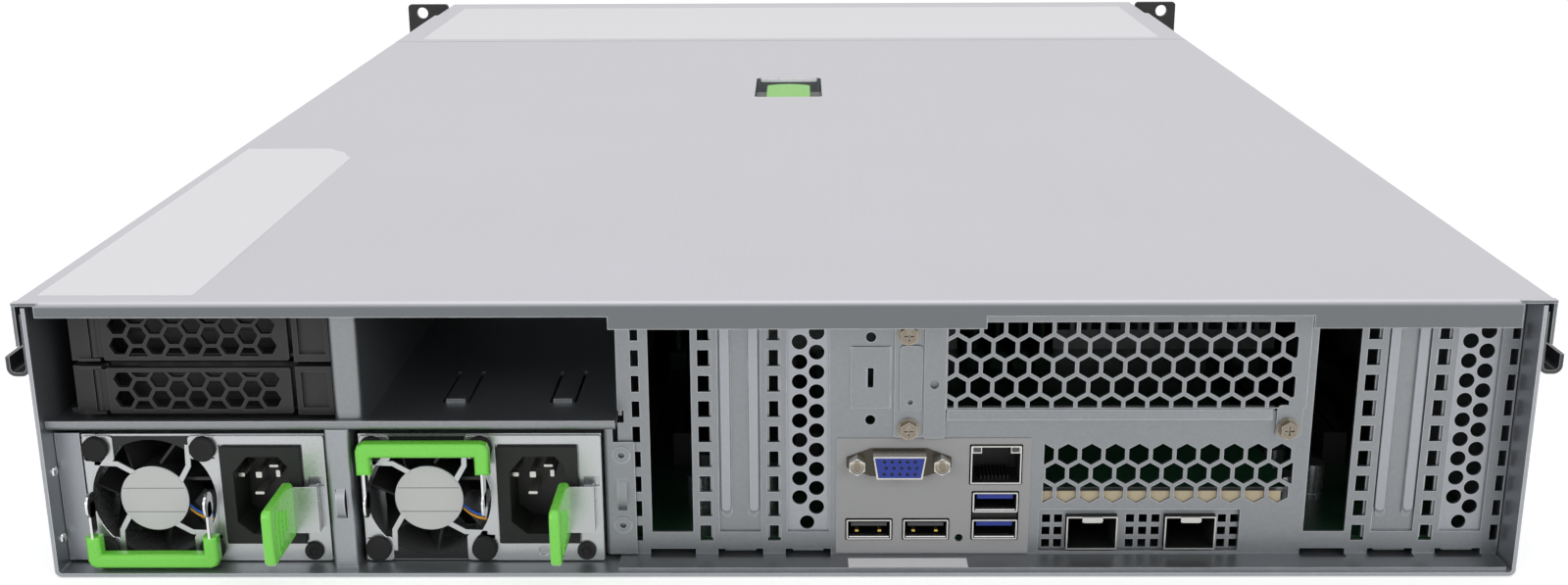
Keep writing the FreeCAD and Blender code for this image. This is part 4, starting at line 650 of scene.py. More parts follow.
button_half = 10.3 * mm
beside = [block(x1=-button_half), block(x0=button_half)]
dress("lid_button", two_finishes("latch_wings", latch_green, grey_wing, beside))
vga_face = low("vga_port").y + 5.4 * mm
vga_flange = block(y0=vga_face - 0.55 * mm, y1=vga_face + 0.1 * mm)
dress("vga_port", two_finishes("vga_metal", tinned_shell, dark_nickel, [vga_flange]))
# Inside the sockets: black housing in part, painted shade in the recesses.
for node_name, wall in (("lan_port", 0.5), ("usb_ports", 0.45), ("sfp_cages", 0.6)):
    inside = block(y0=low(node_name).y + wall * mm)
    dress(node_name, two_finishes(f"{node_name}_metal", tinned_shell, dark_housing_and_shade, [inside]))
card_board = block(y0=low("network_card").y + 2.5 * mm)
dress("network_card", two_finishes("card_bracket", zinc_steel, green_board, [card_board]))
print("two-finish materials ready")


# %% [markdown]
# ## Small parts
#
# Labels, rivets, wires and strips are too thin for the solids, so they are made here as meshes. Each
# one ends in the same steps: it joins the scene, takes its material and rides on the body that
# carries it.

# %% Helper: finish a piece
def finish_piece(name, mesh, material, body):
    piece = bpy.data.objects.new(name, mesh)
    bpy.context.scene.collection.objects.link(piece)
    mesh.materials.append(material)
    for polygon in mesh.polygons:
        polygon.use_smooth = False
    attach(piece, body)
    return piece


def end_mesh(made, name):
    bmesh.ops.recalc_face_normals(made, faces=made.faces)
    mesh = bpy.data.meshes.new(name)
    made.to_mesh(mesh)
    made.free()
    return mesh


def band(made, first, second):
    """Faces between two rings of vertices."""
    count = len(first)
    for i in range(count):
        made.faces.new((first[i], first[(i + 1) % count], second[(i + 1) % count], second[i]))


print("pieces can be finished")


# %% [markdown]
# **Outlines.** A flat part starts as a closed line of points (u, v) in its own plane. Three outlines
# cover most of them: a block, a block with rounded corners and a circle. They are drawn in
# millimetres about a corner or a middle, as on a drawing board, and then shifted to their place.

# %% Helpers: outlines
def block_outline(u0, v0, u1, v1):
    return [(u0, v0), (u1, v0), (u1, v1), (u0, v1)]


def round_outline(u, v, radius, count=40):
    turns = [2 * math.pi * i / count for i in range(count)]
    return [(u + radius * math.cos(turn), v + radius * math.sin(turn)) for turn in turns]


def rounded_outline(u0, v0, u1, v1, radius, steps=5):
    corners = ((u1 - radius, v1 - radius), (u0 + radius, v1 - radius), (u0 + radius, v0 + radius),
               (u1 - radius, v0 + radius))
    outline = []
    for quarter, (u, v) in enumerate(corners):
        for i in range(steps + 1):
            turn = math.pi / 2 * (quarter + i / steps)
            outline.append((u + radius * math.cos(turn), v + radius * math.sin(turn)))
    return outline


def shifted(points, u, v):
    """Points in millimetres about a place, turned into metres."""
    return [(u + a * mm, v + b * mm) for a, b in points]


print("outlines ready")


# %% [markdown]
# **Films and plates.** Film has sharp edges, so it is an outline pushed out to a thickness. Pressed
# and moulded parts have rounded edges and holes. A flat curve makes those best: it fills itself round
# its holes and rounds its own edges, and then becomes a mesh.

# %% Helpers: films and plates
AXES = {"xz": lambda u, v, w: (u, w, v), "xy": lambda u, v, w: (u, v, w), "yz": lambda u, v, w: (w, u, v)}


def flat_mesh(outlines, plane, start, end):
    """One mesh of closed outlines, with a thickness from start to end."""
    made = bmesh.new()
    for outline in outlines:
        rows = [[made.verts.new(AXES[plane](u, v, w)) for u, v in outline] for w in (start, end)]
        made.faces.new(rows[0])
        made.faces.new(rows[1])
        band(made, *rows)
    return end_mesh(made, "flat")


def plate_mesh(parts, plane, start, end, bevel=0.0):
    """Sheets from start to end, each an outline and its holes, with rounded edges.

    The curve is drawn in millimetres, because its fill is too coarse for parts as small as these in
    metres.
    """
    joined = bmesh.new()
    for outlines in parts:
        curve = bpy.data.curves.new("plate", "CURVE")
        curve.dimensions = "2D"
        curve.fill_mode = "BOTH"
        curve.extrude = (end - start) / 2 / mm - bevel / mm
        curve.bevel_depth = bevel / mm
        curve.bevel_resolution = 2
        curve.offset = -bevel / mm
        for points in outlines:
            spline = curve.splines.new("POLY")
            spline.points.add(len(points) - 1)
            for point, (u, v) in zip(spline.points, points):
                point.co = (u / mm, v / mm, 0, 1)
            spline.use_cyclic_u = True
        holder = bpy.data.objects.new("plate", curve)
        flat = bpy.data.meshes.new_from_object(holder)
        joined.from_mesh(flat)
        bpy.data.objects.remove(holder)
        bpy.data.curves.remove(curve)
        bpy.data.meshes.remove(flat)
    for vert in joined.verts:
        u, v, w = vert.co * mm
        vert.co = AXES[plane](u, v, w + (start + end) / 2)
    bmesh.ops.remove_doubles(joined, verts=joined.verts, dist=1e-7)
    return end_mesh(joined, "plates")


print("films and plates ready")


# %% [markdown]
# **Turned parts.** Caps, knobs, pins and rivet heads are round, so a profile of radius and height is
# carried round an axis, as on a lathe.

# %% Helper: turned parts
TURNED = {"y": lambda a, b, w: (a, w, b), "z": lambda a, b, w: (a, b, w), "x": lambda a, b, w: (w, a, b)}


def turned_mesh(centres, profile, axis, count=24):
    """Round parts about an axis, from a profile of (radius, distance along the axis) in millimetres."""
    made = bmesh.new()
    for a0, b0, w0 in centres:
        rings = [[made.verts.new(TURNED[axis](u, v, w0 + along * mm))
                  for u, v in round_outline(a0, b0, radius * mm, count)] for radius, along in profile]
        for first, second in zip(rings, rings[1:]):
            band(made, first, second)
        made.faces.new(rings[0])
        made.faces.new(rings[-1])
    return end_mesh(made, "turned")


print("turned parts ready")


# %% [markdown]
# **Sheet labels.** Two white film labels are stuck on top: a long strip near the left edge of the lid,
# with one corner torn away, and a wide one on the fixed front cover. Film is glossier than the steel
# around it and very thin. Both stay blank.

# %% Labels on the covers
def paper(name, colour):
    material = new_material(name)
    tree = material.node_tree
    sheet = use_group(tree, zinc_sheet, Colour=linear(*colour), Mottle=0.02, Lines=0.0, Clouds=0.04,
                      Shine=0.45)
    connect_finish(tree, principled(material), sheet.outputs["Colour"], sheet, 0.03)
    return material


label_film = paper("label_film", (232, 231, 235))
sticker_film = paper("sticker_film", (204, 204, 204))
film = 0.12 * mm
torn_strip = [(-214, 8), (-169, 8), (-169, 205), (-171.5, 209), (-174, 216), (-178, 219), (-181, 223), (-214, 223)]
wide_sheet = block_outline(-205, 534, 205, 672)
for name, outline, body in (("lid_label", torn_strip, "lid"), ("front_label", wide_sheet, "chassis")):
    placed = flat_mesh([shifted(outline, 0, rear_edge)], "xy", lid_top, lid_top + film)
    finish_piece(name, placed, label_film, body)
print("two blank labels")


# %% [markdown]
# ** Edge of the latch pocket.** The sheet is rolled over at the far side of the pocket, and the roll
# is painted near white as a highlight. A ray sent through the lid's mesh finds the wall that it sits on.

# %% Edge of the latch pocket
def surface_tree(node_name):
    """The surface of a solid, ready for rays."""
    mesh = nodes[node_name].data
    return BVHTree.FromPolygons([v.co for v in mesh.vertices], [p.vertices for p in mesh.polygons])


beside_button = Vector((13 * mm, middle("lid_button").y, lid_top - 1.0 * mm))
wall_hit = surface_tree("lid").ray_cast(beside_button, Vector((0, 1, 0)))[0]
print("far wall of the latch pocket at", wall_hit)
if wall_hit:
    roll = shifted(rounded_outline(-13.6, -1.9, 13.6, -0.1, 0.5), 0, lid_top)
    rolled = plate_mesh([[roll]], "xz", wall_hit.y - 0.7 * mm, wall_hit.y - 0.05 * mm, 0.3 * mm)
    finish_piece("pocket_roll", rolled, roll_highlight, "lid")


# %% [markdown]
# ## Power supplies
#
# **Guard over the fan.** The real face is one bright pressing: a swirl guard over the fan with a round
# hub, and framed corners for the four rubber caps. Its arms run from the hub to the corners in a
# slight bend. Every part of it is a flat outline, and all of them make one plate.

# %% Places on a supply
SUPPLIES = ("left", "right")
fan_x = 20 * mm


def casing(side):
    """Left, right, bottom and top of a supply's face."""
    case_low, case_high = low(f"psu_{side}_case"), high(f"psu_{side}_case")
    return case_low.x, case_high.x, case_low.z, case_high.z - 0.4 * mm


def fan_centre(side):
    """x and z of a supply's fan, from its casing."""
    case_low, case_high = low(f"psu_{side}_case"), high(f"psu_{side}_case")
    return case_low.x + fan_x, (case_low.z + case_high.z) / 2


def face_front(side):
    return high(f"psu_{side}_face").y - 0.8 * mm


def supply_piece(name, side, mesh, material):
    return finish_piece(f"{name}_{side}", mesh, material, f"psu_{side}")


print("fan of the left supply at", [round(v, 4) for v in fan_centre("left")])


# %% Guard over the fan
def spoke_outline(x, z, quarter, width=1.7 * mm):
    """One bent spoke of the guard, turned by quarters about the fan."""
    path = [(-4.6, 7.6), (-10.2, 10.9), (-17.0, 11.2)]
    for _ in range(quarter):
        path = [(v, -u) for u, v in path]
    points = [Vector((u * mm, v * mm)) for u, v in path]
    sides = []
    for i, point in enumerate(points):
        ahead = (points[min(i + 1, 2)] - points[max(i - 1, 0)]).normalized()
        sides.append(Vector((-ahead.y, ahead.x)) * width / 2)
    outline = [p + q for p, q in zip(points, sides)] + [p - q for p, q in reversed(list(zip(points, sides)))]
    return [(x + p.x, z + p.y) for p in outline]


mouth = 18.4 * mm
hub_plate = 10.2 * mm


def side_band(side, sign):
    """Guard between the caps on one side, following the round mouth."""
    x, z = fan_centre(side)
    edge = casing(side)[0] + (0.1 * mm if sign < 0 else 40.6 * mm)
    turns = [math.radians(-46 + 92 * i / 14) for i in range(15)]
    arc = [(x + sign * mouth * math.cos(t), z + mouth * math.sin(t)) for t in turns]
    return [(edge, z - 13.2 * mm), *arc, (edge, z + 13.2 * mm)]


for side in SUPPLIES:
    x, z = fan_centre(side)
    bottom, top = casing(side)[2:]
    pads = [rounded_outline(x + u0 * mm, v0, x + u1 * mm, v1, 1.2 * mm) for u0, u1, v0, v1 in (
        (-19.9, -10.8, z + 11.6 * mm, top), (11.4, 20.4, z + 12.4 * mm, top),
        (-19.9, -11.6, bottom, z - 12.4 * mm), (10.6, 20.4, bottom, z - 11.6 * mm))]
    parts = [side_band(side, -1), side_band(side, 1), round_outline(x, z, hub_plate, 56), *pads]
    parts += [spoke_outline(x, z, quarter) for quarter in range(4)]
    front = face_front(side)
    pressing = plate_mesh([[part] for part in parts], "xz", front, front + 0.8 * mm, 0.2 * mm)
    guard = supply_piece("guard", side, pressing, supply_steel)
    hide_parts(f"psu_{side}_face")
print("two guards")


# %% [markdown]
# **Tray and fan frame.** Beside the fan the pressing forms a tray round the mains inlet, with a slot
# for the release tab and a lamp hole. Between the caps the black moulded frame of the fan shows. The
# tray stands a hair in front of the guard, because two faces in one plane would flicker.

# %% Tray and fan frame
for side in SUPPLIES:
    x, z = fan_centre(side)
    left, right, bottom, top = casing(side)
    front = face_front(side)
    tray = [rounded_outline(left + 39.0 * mm, bottom, right, top, 0.8 * mm),
            shifted(rounded_outline(40.4, -14.6, 65, 17.0, 0.3), left, z),
            shifted(rounded_outline(-5.4, 3.7, -0.8, 6.8, 0.3), right, z),
            shifted(round_outline(-18, 3.2, 1.7, 20), right, bottom)]
    supply_piece("inlet_tray", side, plate_mesh([tray], "xz", front - 0.06 * mm, front + 0.74 * mm, 0.1 * mm),
                 supply_steel)
    frame_plate = [rounded_outline(left + 0.4 * mm, bottom + 0.3 * mm, left + 40 * mm, top - 0.3 * mm, 2 * mm),
                   round_outline(x, z, mouth, 64)]
    supply_piece("fan_frame", side, plate_mesh([frame_plate], "xz", front + 0.35 * mm, front + 0.75 * mm, 0.1 * mm),
                 fan_black)
print("two trays and fan frames")


# %% [markdown]
# **Caps and thumbscrew.** Four rubber caps cover the fan's screws, and a black knob with a dished end
# closes the lower right corner. All are turned from a profile that starts at the face.

# %% Caps and thumbscrew
cap_profile = [(3.8, 0), (3.8, -1.5), (3.4, -1.9), (0.2, -2.0)]
knob_profile = [(2.8, 0), (2.8, -1.0), (2.4, -1.3), (1.5, -1.3), (1.2, -0.7), (0.1, -0.6)]
cap_reach = 15.9 * mm
for side in SUPPLIES:
    x, z = fan_centre(side)
    front = face_front(side)
    caps = [(x + i * cap_reach, z + j * cap_reach, front) for i in (-1, 1) for j in (-1, 1)]
    supply_piece("guard_caps", side, turned_mesh(caps, cap_profile, "y", 36), rubber_black)
    knob = [(casing(side)[1] - 5.2 * mm, casing(side)[2] + 3.4 * mm, front)]
    supply_piece("thumb_screw", side, turned_mesh(knob, knob_profile, "y", 32), rubber_black)
print("caps and thumbscrews")


# %% [markdown]
# **Mains inlets.** A black block with an eight-sided mouth, and the bright ends of its three blades
# and their two springs deep inside. The block is a thick plate with one hole, and a second plate
# closes its floor.

# %% Mains inlets
INLET_MOUTH = [(-3.6, -12.2), (4.2, -12.2), (8.1, -8.7), (8.1, 9.0), (5.4, 12.2), (-3.9, 12.2), (-8.1, 7.3),
               (-8.1, -8.3)]
BLADES = ((2.9, 8.0, 2.8, 0.8), (-2.0, -0.6, 2.8, 0.9), (-1.8, 5.2, 1.9, 1.9), (-7.0, 5.2, 2.0, 1.3),
          (4.0, 5.6, 1.3, 2.2))   # across, up, width and height of each, from the inlet's middle
for side in SUPPLIES:
    x, z = casing(side)[0] + 52.6 * mm, fan_centre(side)[1] + 1.2 * mm
    front = face_front(side) - 1.3 * mm
    shape = [shifted(outline, x, z) for outline in (rounded_outline(-11.9, -15.4, 11.9, 15.3, 0.6), INLET_MOUTH)]
    shell = plate_mesh([shape], "xz", front, front + 16 * mm, 0.3 * mm)
    inlet_piece = supply_piece("mains_inlet", side, shell, inlet_black)
    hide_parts(f"psu_{side}_inlet")
    well = shifted(rounded_outline(-9, -13, 9, 13, 1), x, z)
    supply_piece("inlet_floor", side, plate_mesh([[well]], "xz", front + 15 * mm, front + 16.2 * mm),
                 socket_black)
    ends = [[shifted(rounded_outline(u - wide / 2, v - tall / 2, u + wide / 2, v + tall / 2, 0.3, 2), x, z)]
            for u, v, wide, tall in BLADES]
    supply_piece("inlet_blades", side, plate_mesh(ends, "xz", front + 4 * mm, front + 15.5 * mm, 0.1 * mm),
                 tinned_shell)
print("two mains inlets")


# %% [markdown]
# **Handles.** The handle is a glossy green grip with generously rounded edges, shaped like a wide U.
# It turns on two polished straps that end in discs beside the fan. On the left supply it hangs down,
# on the right one it stands up, so one outline is drawn with a sign.

# %% Handles
half, reach, leg, grip_bar, arm = 19.5, 19.6, 9.9, 4.4, 4.3   # half width and so on, in millimetres
outer = [(-half, reach - leg), (-half, reach - 2.4), (-half + 0.7, reach - 0.7), (-half + 2.4, reach)]
inner = [(-half + arm, reach - leg), (-half + arm, reach - grip_bar)]
grip_outline = outer + [(-u, v) for u, v in outer[::-1]] + [(-u, v) for u, v in inner] + inner[::-1]
for side in SUPPLIES:
    x, z = fan_centre(side)
    bail_low, bail_high = low(f"psu_{side}_bail"), high(f"psu_{side}_bail")
    up = 1 if side == "right" else -1
    pivot = (bail_low.y + bail_high.y) / 2
    grip = plate_mesh([[shifted([(u, up * v) for u, v in grip_outline], x, z)]], "xz",
                      bail_low.y + 0.2 * mm, bail_high.y - 0.2 * mm, 1.2 * mm)
    handle = finish_piece(f"handle_{side}", grip, green_plastic, f"psu_{side}_bail")
    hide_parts(f"psu_{side}_bail")
    in_grip = up * (reach - leg + 1.5)
    strap = shifted(rounded_outline(-2.1, min(0, in_grip) - 1.2, 2.1, max(0, in_grip) + 1.2, 2), pivot, z)
    disc = shifted(round_outline(0, 0, 3.9, 32), pivot, z)
    for name, edge in (("near", x + (1.8 - half) * mm), ("far", x + (half - 2.6) * mm)):
        finish_piece(f"strap_{side}_{name}", plate_mesh([[strap], [disc]], "yz", edge, edge + 0.8 * mm, 0.2 * mm),
                     chrome_steel, f"psu_{side}_bail")
print("two handles")


# %% [markdown]
# **Release tabs.** The green tab stands straight out of the face and has four curved ribs for the
# thumb. It is moulded on the end of a bent spring strip that comes out of the tray.

# %% Release tabs
def arc_rib(u, v, radius, width, spread, steps=10):
    """Thin curved rib, open towards +u."""
    turns = [spread * (2 * i / steps - 1) for i in range(steps + 1)]
    outside, inside = [[(u - away * math.cos(t), v - away * math.sin(t)) for t in turns]
                       for away in (radius + width / 2, radius - width / 2)]
    return outside + inside[::-1]


for side in SUPPLIES:
    tab_low, tab_high = low(f"psu_{side}_latch"), high(f"psu_{side}_latch")
    tab_x, back = tab_low.x, tab_low.y + 25 * mm
    outline = rounded_outline(tab_low.y, tab_low.z + 0.8 * mm, back, tab_high.z - 1.0 * mm, 2.4 * mm)
    tab = plate_mesh([[outline]], "yz", tab_x, tab_x + 3.2 * mm, 1.0 * mm)
    tab_piece = finish_piece(f"release_tab_{side}", tab, green_plastic, f"psu_{side}_latch")
    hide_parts(f"psu_{side}_latch")
    thumb_rest = (tab_low.y + 23.4 * mm, (tab_low.z + tab_high.z) / 2)
    ribs = [[arc_rib(*thumb_rest, radius * mm, 1.0 * mm, 0.36)] for radius in (8.6, 12.0, 15.4, 18.8)]
    finish_piece(f"tab_ribs_{side}", plate_mesh(ribs, "yz", tab_x + 3.0 * mm, tab_x + 3.6 * mm, 0.2 * mm),
                 green_plastic, f"psu_{side}_latch")
    strip = [(tab_x + 1 * mm, back - 2 * mm), (tab_x + 10.4 * mm, back - 2 * mm), (tab_x + 10.4 * mm, tab_high.y),
             (tab_x + 9.8 * mm, tab_high.y), (tab_x + 9.8 * mm, back - 1.4 * mm), (tab_x + 1 * mm, back - 1.4 * mm)]
    spring = plate_mesh([[strip]], "xy", tab_low.z + 2 * mm, tab_high.z - 2.4 * mm, 0.1 * mm)
    finish_piece(f"tab_spring_{side}", spring, supply_steel, f"psu_{side}_latch")
print("two release tabs")


# %% [markdown]
# **Hub stickers and fan wires.** Each guard's hub carries a round grey-white sticker with two thin
# rules. Two thin wires of the fan cross the lower right of the mouth.

# %% Hub stickers and fan wires
rule_ink = paper("rule_ink", (96, 96, 98))
hub = 9.9 * mm
for side in SUPPLIES:
    x, z = fan_centre(side)
    front = face_front(side)
    supply_piece("hub_sticker", side, flat_mesh([round_outline(x, z, hub, 64)], "xz", front - film, front),
                 sticker_film)
    rules = []
    for height in (3.3 * mm, -4.2 * mm):
        half_rule = math.sqrt(hub ** 2 - height ** 2) - 0.2 * mm
        rules.append(block_outline(x - half_rule, z + height - 0.1 * mm, x + half_rule, z + height + 0.1 * mm))
    supply_piece("hub_rules", side, flat_mesh(rules, "xz", front - film - 0.02 * mm, front - film * 0.5),
                 rule_ink)
    for name, material, rise in (("blue", wire_blue, 0.0), ("yellow", wire_yellow, -1.1)):
        path = [(9.6, -2.6 + rise), (11.6, -4.4 + rise), (13.8, -5.6 + rise), (16.6, -6.2 + rise)]
        wire = [(u, v + 0.42) for u, v in path] + [(u, v - 0.42) for u, v in path[::-1]]
        supply_piece(f"fan_wire_{name}", side, plate_mesh([[shifted(wire, x, z)]], "xz", front + 1.2 * mm,
                                                          front + 2.0 * mm, 0.3 * mm), material)
print("stickers and wires")


# %% [markdown]
# ## Ports
#
# ** Display socket.** The metal shells are solids; what is inside them is finer than the CAD model. The
# display socket holds a blue insert with fifteen holes in three rows, the middle one shifted by half
# a step, and has a hexagonal post on each side. A dark sheet behind the holes is painted shade, so that they read
# as deep.

# %% Display socket
def port_parts(name, outlines, start, depth, material, bevel=0.0):
    return finish_piece(name, plate_mesh(outlines, "xz", start, start + depth, bevel), material, "chassis")


vga_x, vga_z = middle("vga_port").x, high("vga_port").z - 4.35 * mm
pin_holes = []
for rise, shift in ((1.95, 0), (0, 0.55), (-1.95, 0)):
    for i in range(5):
        pin_holes.append(shifted(round_outline((i - 2) * 2.25 + shift, rise, 0.52, 14), vga_x, vga_z))
insert = shifted([(-6.2, -3.1), (6.2, -3.1), (7.3, 3.1), (-7.3, 3.1)], vga_x, vga_z)
# A dark sheet of painted shade behind the holes.
port_parts("display_hole_shade", [[insert]], vga_face - 4.75 * mm, 0.2 * mm, socket_black)
port_parts("display_insert", [[insert, *pin_holes]], vga_face - 5.2 * mm, 0.45 * mm, port_blue)
posts = [(vga_x + side * 12.5 * mm, vga_z, vga_face - 4.6 * mm) for side in (-1, 1)]
collar = [(2.1, 0.3), (2.1, -0.2), (1.7, -0.45), (1.35, -0.4), (1.2, 1.6)]
finish_piece("display_posts", turned_mesh(posts, collar, "y", 32), nickel_screw, "chassis")
print(len(pin_holes), "holes in the display socket")


# %% [markdown]
# **Network lamps and serial sockets.** Two small lamp windows sit in the upper corners of the network
# socket. Each of the four serial sockets has a tongue under its top wall, blue for the fast ones and
# grey for the others, a bright lip at the bottom, and gold contacts where they show.

# %% Network lamps and serial sockets
lan_low, lan_high = low("lan_port"), high("lan_port")
windows = [[shifted(block_outline(0, -1.9, 2.2, -0.7), u, lan_high.z)]
           for u in (lan_low.x + 0.7 * mm, lan_high.x - 2.9 * mm)]
port_parts("network_lamps", windows, lan_low.y - 0.05 * mm, 0.2 * mm, port_grey)

usb_low = low("usb_ports") + Vector((0, 0, 0.3 * mm))
USB_PLACES = ((0, 0, False), (17.0, 0, False), (37.6, 0, True), (37.6, 8.7, True))   # across, up, fast
tongues = {True: [], False: []}
lips, contacts = [], []
for across, rise, fast in USB_PLACES:
    u, v = usb_low.x + across * mm, usb_low.z + rise * mm
    tongues[fast].append([shifted(block_outline(1.3, 3.9, 12.1, 5.4 if fast else 5.0), u, v)])
    lips.append([shifted(block_outline(0.7, 0.5, 12.7, 0.95), u, v)])
    if not fast:
        contacts += [[shifted(block_outline(w, 1.9, w + 1, 2.5), u, v)] for w in (2.6, 9.4)]
port_parts("fast_tongues", tongues[True], usb_low.y + 1.2 * mm, 6 * mm, port_blue, 0.1 * mm)
port_parts("plain_tongues", tongues[False], usb_low.y + 1.2 * mm, 6 * mm, port_grey, 0.1 * mm)
port_parts("port_lips", lips, usb_low.y + 0.3 * mm, 2 * mm, chrome_steel, 0.1 * mm)
port_parts("port_contacts", contacts, usb_low.y + 1.6 * mm, 3 * mm, contact_gold)
print(len(USB_PLACES), "serial sockets")


# %% [markdown]
# **Module cages and card edge.** A small tinned latch closes the top of each module cage. Behind the
# lower vents the pale edge of the network card's connector strip shows through the hexagons.

# %% Module cages and card edge
sfp_low = low("sfp_cages")
latch_shape = [(4.6, 9.3), (5.2, 8.6), (10.2, 8.6), (10.8, 9.3), (10.8, 9.9), (4.6, 9.9)]
latches = [[shifted(latch_shape, sfp_low.x + across * mm, sfp_low.z)] for across in (0, 29.4)]
port_parts("module_latches", latches, sfp_low.y + 0.2 * mm, 1.2 * mm, tinned_shell, 0.1 * mm)
card = low("network_card")
edge = [[shifted(block_outline(0, 15.0, 74, 19.3), card.x, card.z)]]
port_parts("card_edge_strip", edge, high("rear_wall").y, 0.5 * mm, board_edge, 0.1 * mm)
print("cage latches and card edge")


# %% [markdown]
# ## Rear wall
#
# **Vent cover.** It is folded and screwed to the wall: a raised strip beside its hexagons, a small
# patch with a hole, a sloping ledge under them and an embossed plate round the key slot stand just
# proud of it. All are thin plates, placed from the corner of the connector panel.

# %% Vent cover
def sheet_piece(name, parts, plane, start, end, material, bevel=0.15 * mm):
    return finish_piece(name, plate_mesh(parts, plane, start, end, bevel), material, "chassis")


panel_left, panel_top = low("io_panel").x, high("io_panel").z
wall_front = high("io_panel").y
vent_left = panel_left + 31.8 * mm
for name, corner, front, back, bevel, outlines in (
        ("cover_strip", vent_left, -1.7, -0.9, 0.15,
         (rounded_outline(-6.3, 0.5, 0.2, 39, 0.8), round_outline(-3.2, 17.1, 1.3, 24))),
        ("cover_patch", vent_left, -1.35, -0.95, 0.15,
         (rounded_outline(-13.4, 8.6, -6.6, 29, 1.2), round_outline(-10.2, 11.6, 0.8, 20))),
        ("key_plate", panel_left, -0.62, -0.02, 0.12,
         (rounded_outline(4.1, 9.4, 15.8, 28.4, 1.0), rounded_outline(8.8, 16.0, 10.8, 21.9, 0.3)))):
    placed = [shifted(outline, corner, panel_top) for outline in outlines]
    sheet_piece(name, [placed], "xz", wall_front + front * mm, wall_front + back * mm, zinc_steel, bevel * mm)
slope = shifted([(-0.5, 9.3), (-1.3, 9.3), (-2.0, 6.2), (-1.2, 6.0)], wall_front, panel_top)
sheet_piece("vent_ledge", [[slope]], "yz", vent_left + 0.6 * mm, vent_left + 96 * mm, zinc_steel)
print("vent cover from x =", round(vent_left, 4))


# %% [markdown]
# **Slot covers.** Two of the slot covers are stiffened by a pair of long pressed ribs with round ends.
# The solids carry them as low steps; these plates give them their full height and soft flanks.

# %% Ribs of the slot covers
cover_low, cover_high = low("ribbed_slot_covers"), high("ribbed_slot_covers")
cover_front = cover_low.y + 0.7 * mm
rib_top = (cover_high.z - cover_low.z) / mm - 3.9
ribs = [[shifted(rounded_outline(middle_u - 1.6, 12.8, middle_u + 1.6, rib_top, 1.5), x, cover_low.z)]
        for x in (cover_low.x + 8.8 * mm, cover_high.x - 8.8 * mm) for middle_u in (-4.15, 4.15)]
sheet_piece("cover_ribs", ribs, "xz", cover_front - 1.3 * mm, cover_front + 0.1 * mm, pan_steel, 0.6 * mm)
print(len(ribs), "ribs")


# %% [markdown]
# **Label on the lip.** A bare white label lies on the foot of the rear wall, which rests on the lip of
# the pan. Rays sent down from above measure both heights on the solids themselves.

# %% Label on the lip
def height_under(tree, x, y):
    """Height of a solid under a place, or nothing."""
    return tree.ray_cast(Vector((x, y, 30 * mm)), Vector((0, 0, -1)))[0]


pan_tree = surface_tree("chassis_pan")
lip_z = height_under(pan_tree, 30 * mm, rear_edge + 5 * mm).z
foot = height_under(surface_tree("rear_wall"), panel_left + 20 * mm, rear_edge + 5 * mm)
foot_z = foot.z if foot else lip_z
bare = shifted(block_outline(3.6, 1.9, 39, 8.2), panel_left, rear_edge)
finish_piece("lip_label", flat_mesh([bare], "xy", foot_z, foot_z + film), label_film, "chassis")
print("lip of the pan", round(lip_z / mm, 2), "mm up, foot of the wall", round(foot_z / mm, 2), "mm up")


# %% [markdown]
# **Side filler and rivets.** Between the pan's side and the left supply is a bent filler sheet, and two
# bright rivet heads sit on the pan's inner side in front of it.

# %% Side filler and rivets
inner_side = pan_tree.ray_cast(Vector((-0.208, rear_edge + 20 * mm, 0.03)), Vector((-1, 0, 0)))[0].x
supply_left, shelf_under = low("psu_left_case").x, low("bay_shelf").z
filler_front, filler_back = face_front("left"), face_front("left") + 150 * mm
channel = [(inner_side + 0.2 * mm, filler_front), (supply_left - 0.3 * mm, filler_front),
           (supply_left - 0.3 * mm, filler_back), (supply_left - 1.0 * mm, filler_back),
           (supply_left - 1.0 * mm, filler_front + 0.8 * mm), (inner_side + 0.2 * mm, filler_front + 0.8 * mm)]
sheet_piece("side_filler", [[channel]], "xy", lip_z + 0.6 * mm, shelf_under - 2.4 * mm, pan_steel)
rivets = [(rear_edge + 5.9 * mm, height, inner_side) for height in (31.3 * mm, 10.1 * mm)]
head = [(1.7, -0.1), (1.5, 0.5), (0.9, 0.8), (0.1, 0.85)]
finish_piece("side_rivets", turned_mesh(rivets, head, "x", 24), chrome_steel, "chassis")
print("filler and", len(rivets), "rivets")


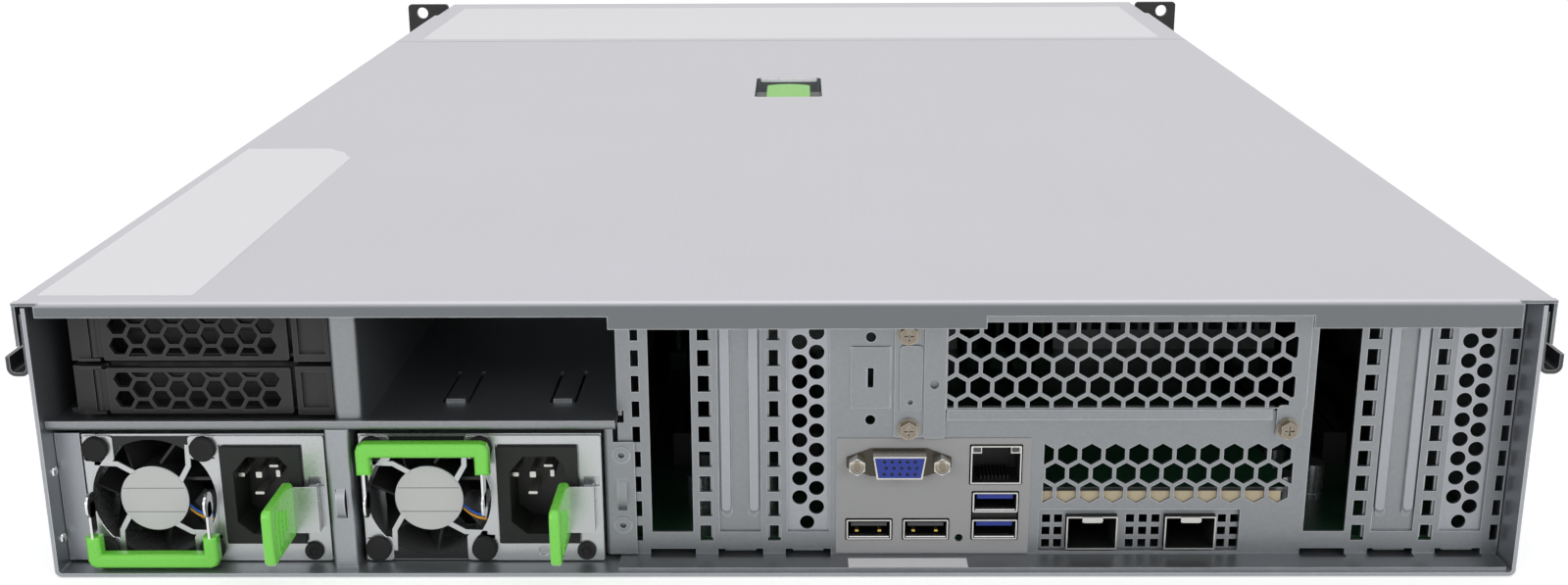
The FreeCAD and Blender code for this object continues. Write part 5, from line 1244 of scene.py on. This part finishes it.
# %% [markdown]
# ## Drive carrier doors
#
# The swinging door of each rear carrier is a black moulding with a field of large hexagons that stand
# on their flat sides. It hangs on a round barrel at its left, and its panel starts a little beyond
# the barrel, or it would cut into the carrier when it swings.

# %% Carrier doors
def flat_hexes(u0, v0, u1, v1, pitch, across):
    """Hexagons on their flat sides that fill a rectangle, trimmed at its top and bottom."""
    holes = []
    radius = across / math.sqrt(3)
    column, u = 0, u0 + radius
    while u + radius < u1:
        v = v0 + (0 if column % 2 else pitch / 2)
        while v < v1 + pitch / 2:
            points = round_outline(u, v, radius, 6)
            points = [(p, min(max(q, v0), v1)) for p, q in points]
            if max(q for _, q in points) - min(q for _, q in points) > 1.0 * mm:
                holes.append(points)
            v += pitch
        column += 1
        u += pitch * math.sqrt(3) / 2
    return holes


for level in ("lower", "upper"):
    node_name = f"rear_carrier_{level}_door"
    door_low, door_high = low(node_name), high(node_name)
    body = next(joint["child"] for joint in frame["joints"] if level in joint["name"] and "door" in joint["name"])
    area = (door_low.x + 6.0 * mm, door_low.z + 1.4 * mm, door_high.x - 1.6 * mm, door_high.z - 1.4 * mm)
    outline = rounded_outline(door_low.x + 4.1 * mm, door_low.z, door_high.x, door_high.z, 0.8 * mm)
    door = plate_mesh([[outline, *flat_hexes(*area, 6.2 * mm, 5.0 * mm)]], "xz", door_low.y, door_low.y + 2.0 * mm,
                      0.25 * mm)
    door_piece = finish_piece(f"carrier_door_{level}", door, door_plastic, body)
    barrel = [(door_low.x + 1.3 * mm, door_low.y + 2.2 * mm, door_low.z + 0.8 * mm)]
    pin = [(1.3, 0), (1.3, (door_high.z - door_low.z) / mm - 1.6)]
    finish_piece(f"door_barrel_{level}", turned_mesh(barrel, pin, "z"), door_plastic, body)
    arm = block_outline(door_low.x + 2.0 * mm, door_low.z + 0.8 * mm, door_low.x + 5.0 * mm, door_high.z - 0.8 * mm)
    finish_piece(f"door_arm_{level}", plate_mesh([[arm]], "xz", door_low.y + 1.3 * mm, door_low.y + 2.6 * mm),
                 door_plastic, body)
    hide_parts(node_name)
print("two carrier doors")
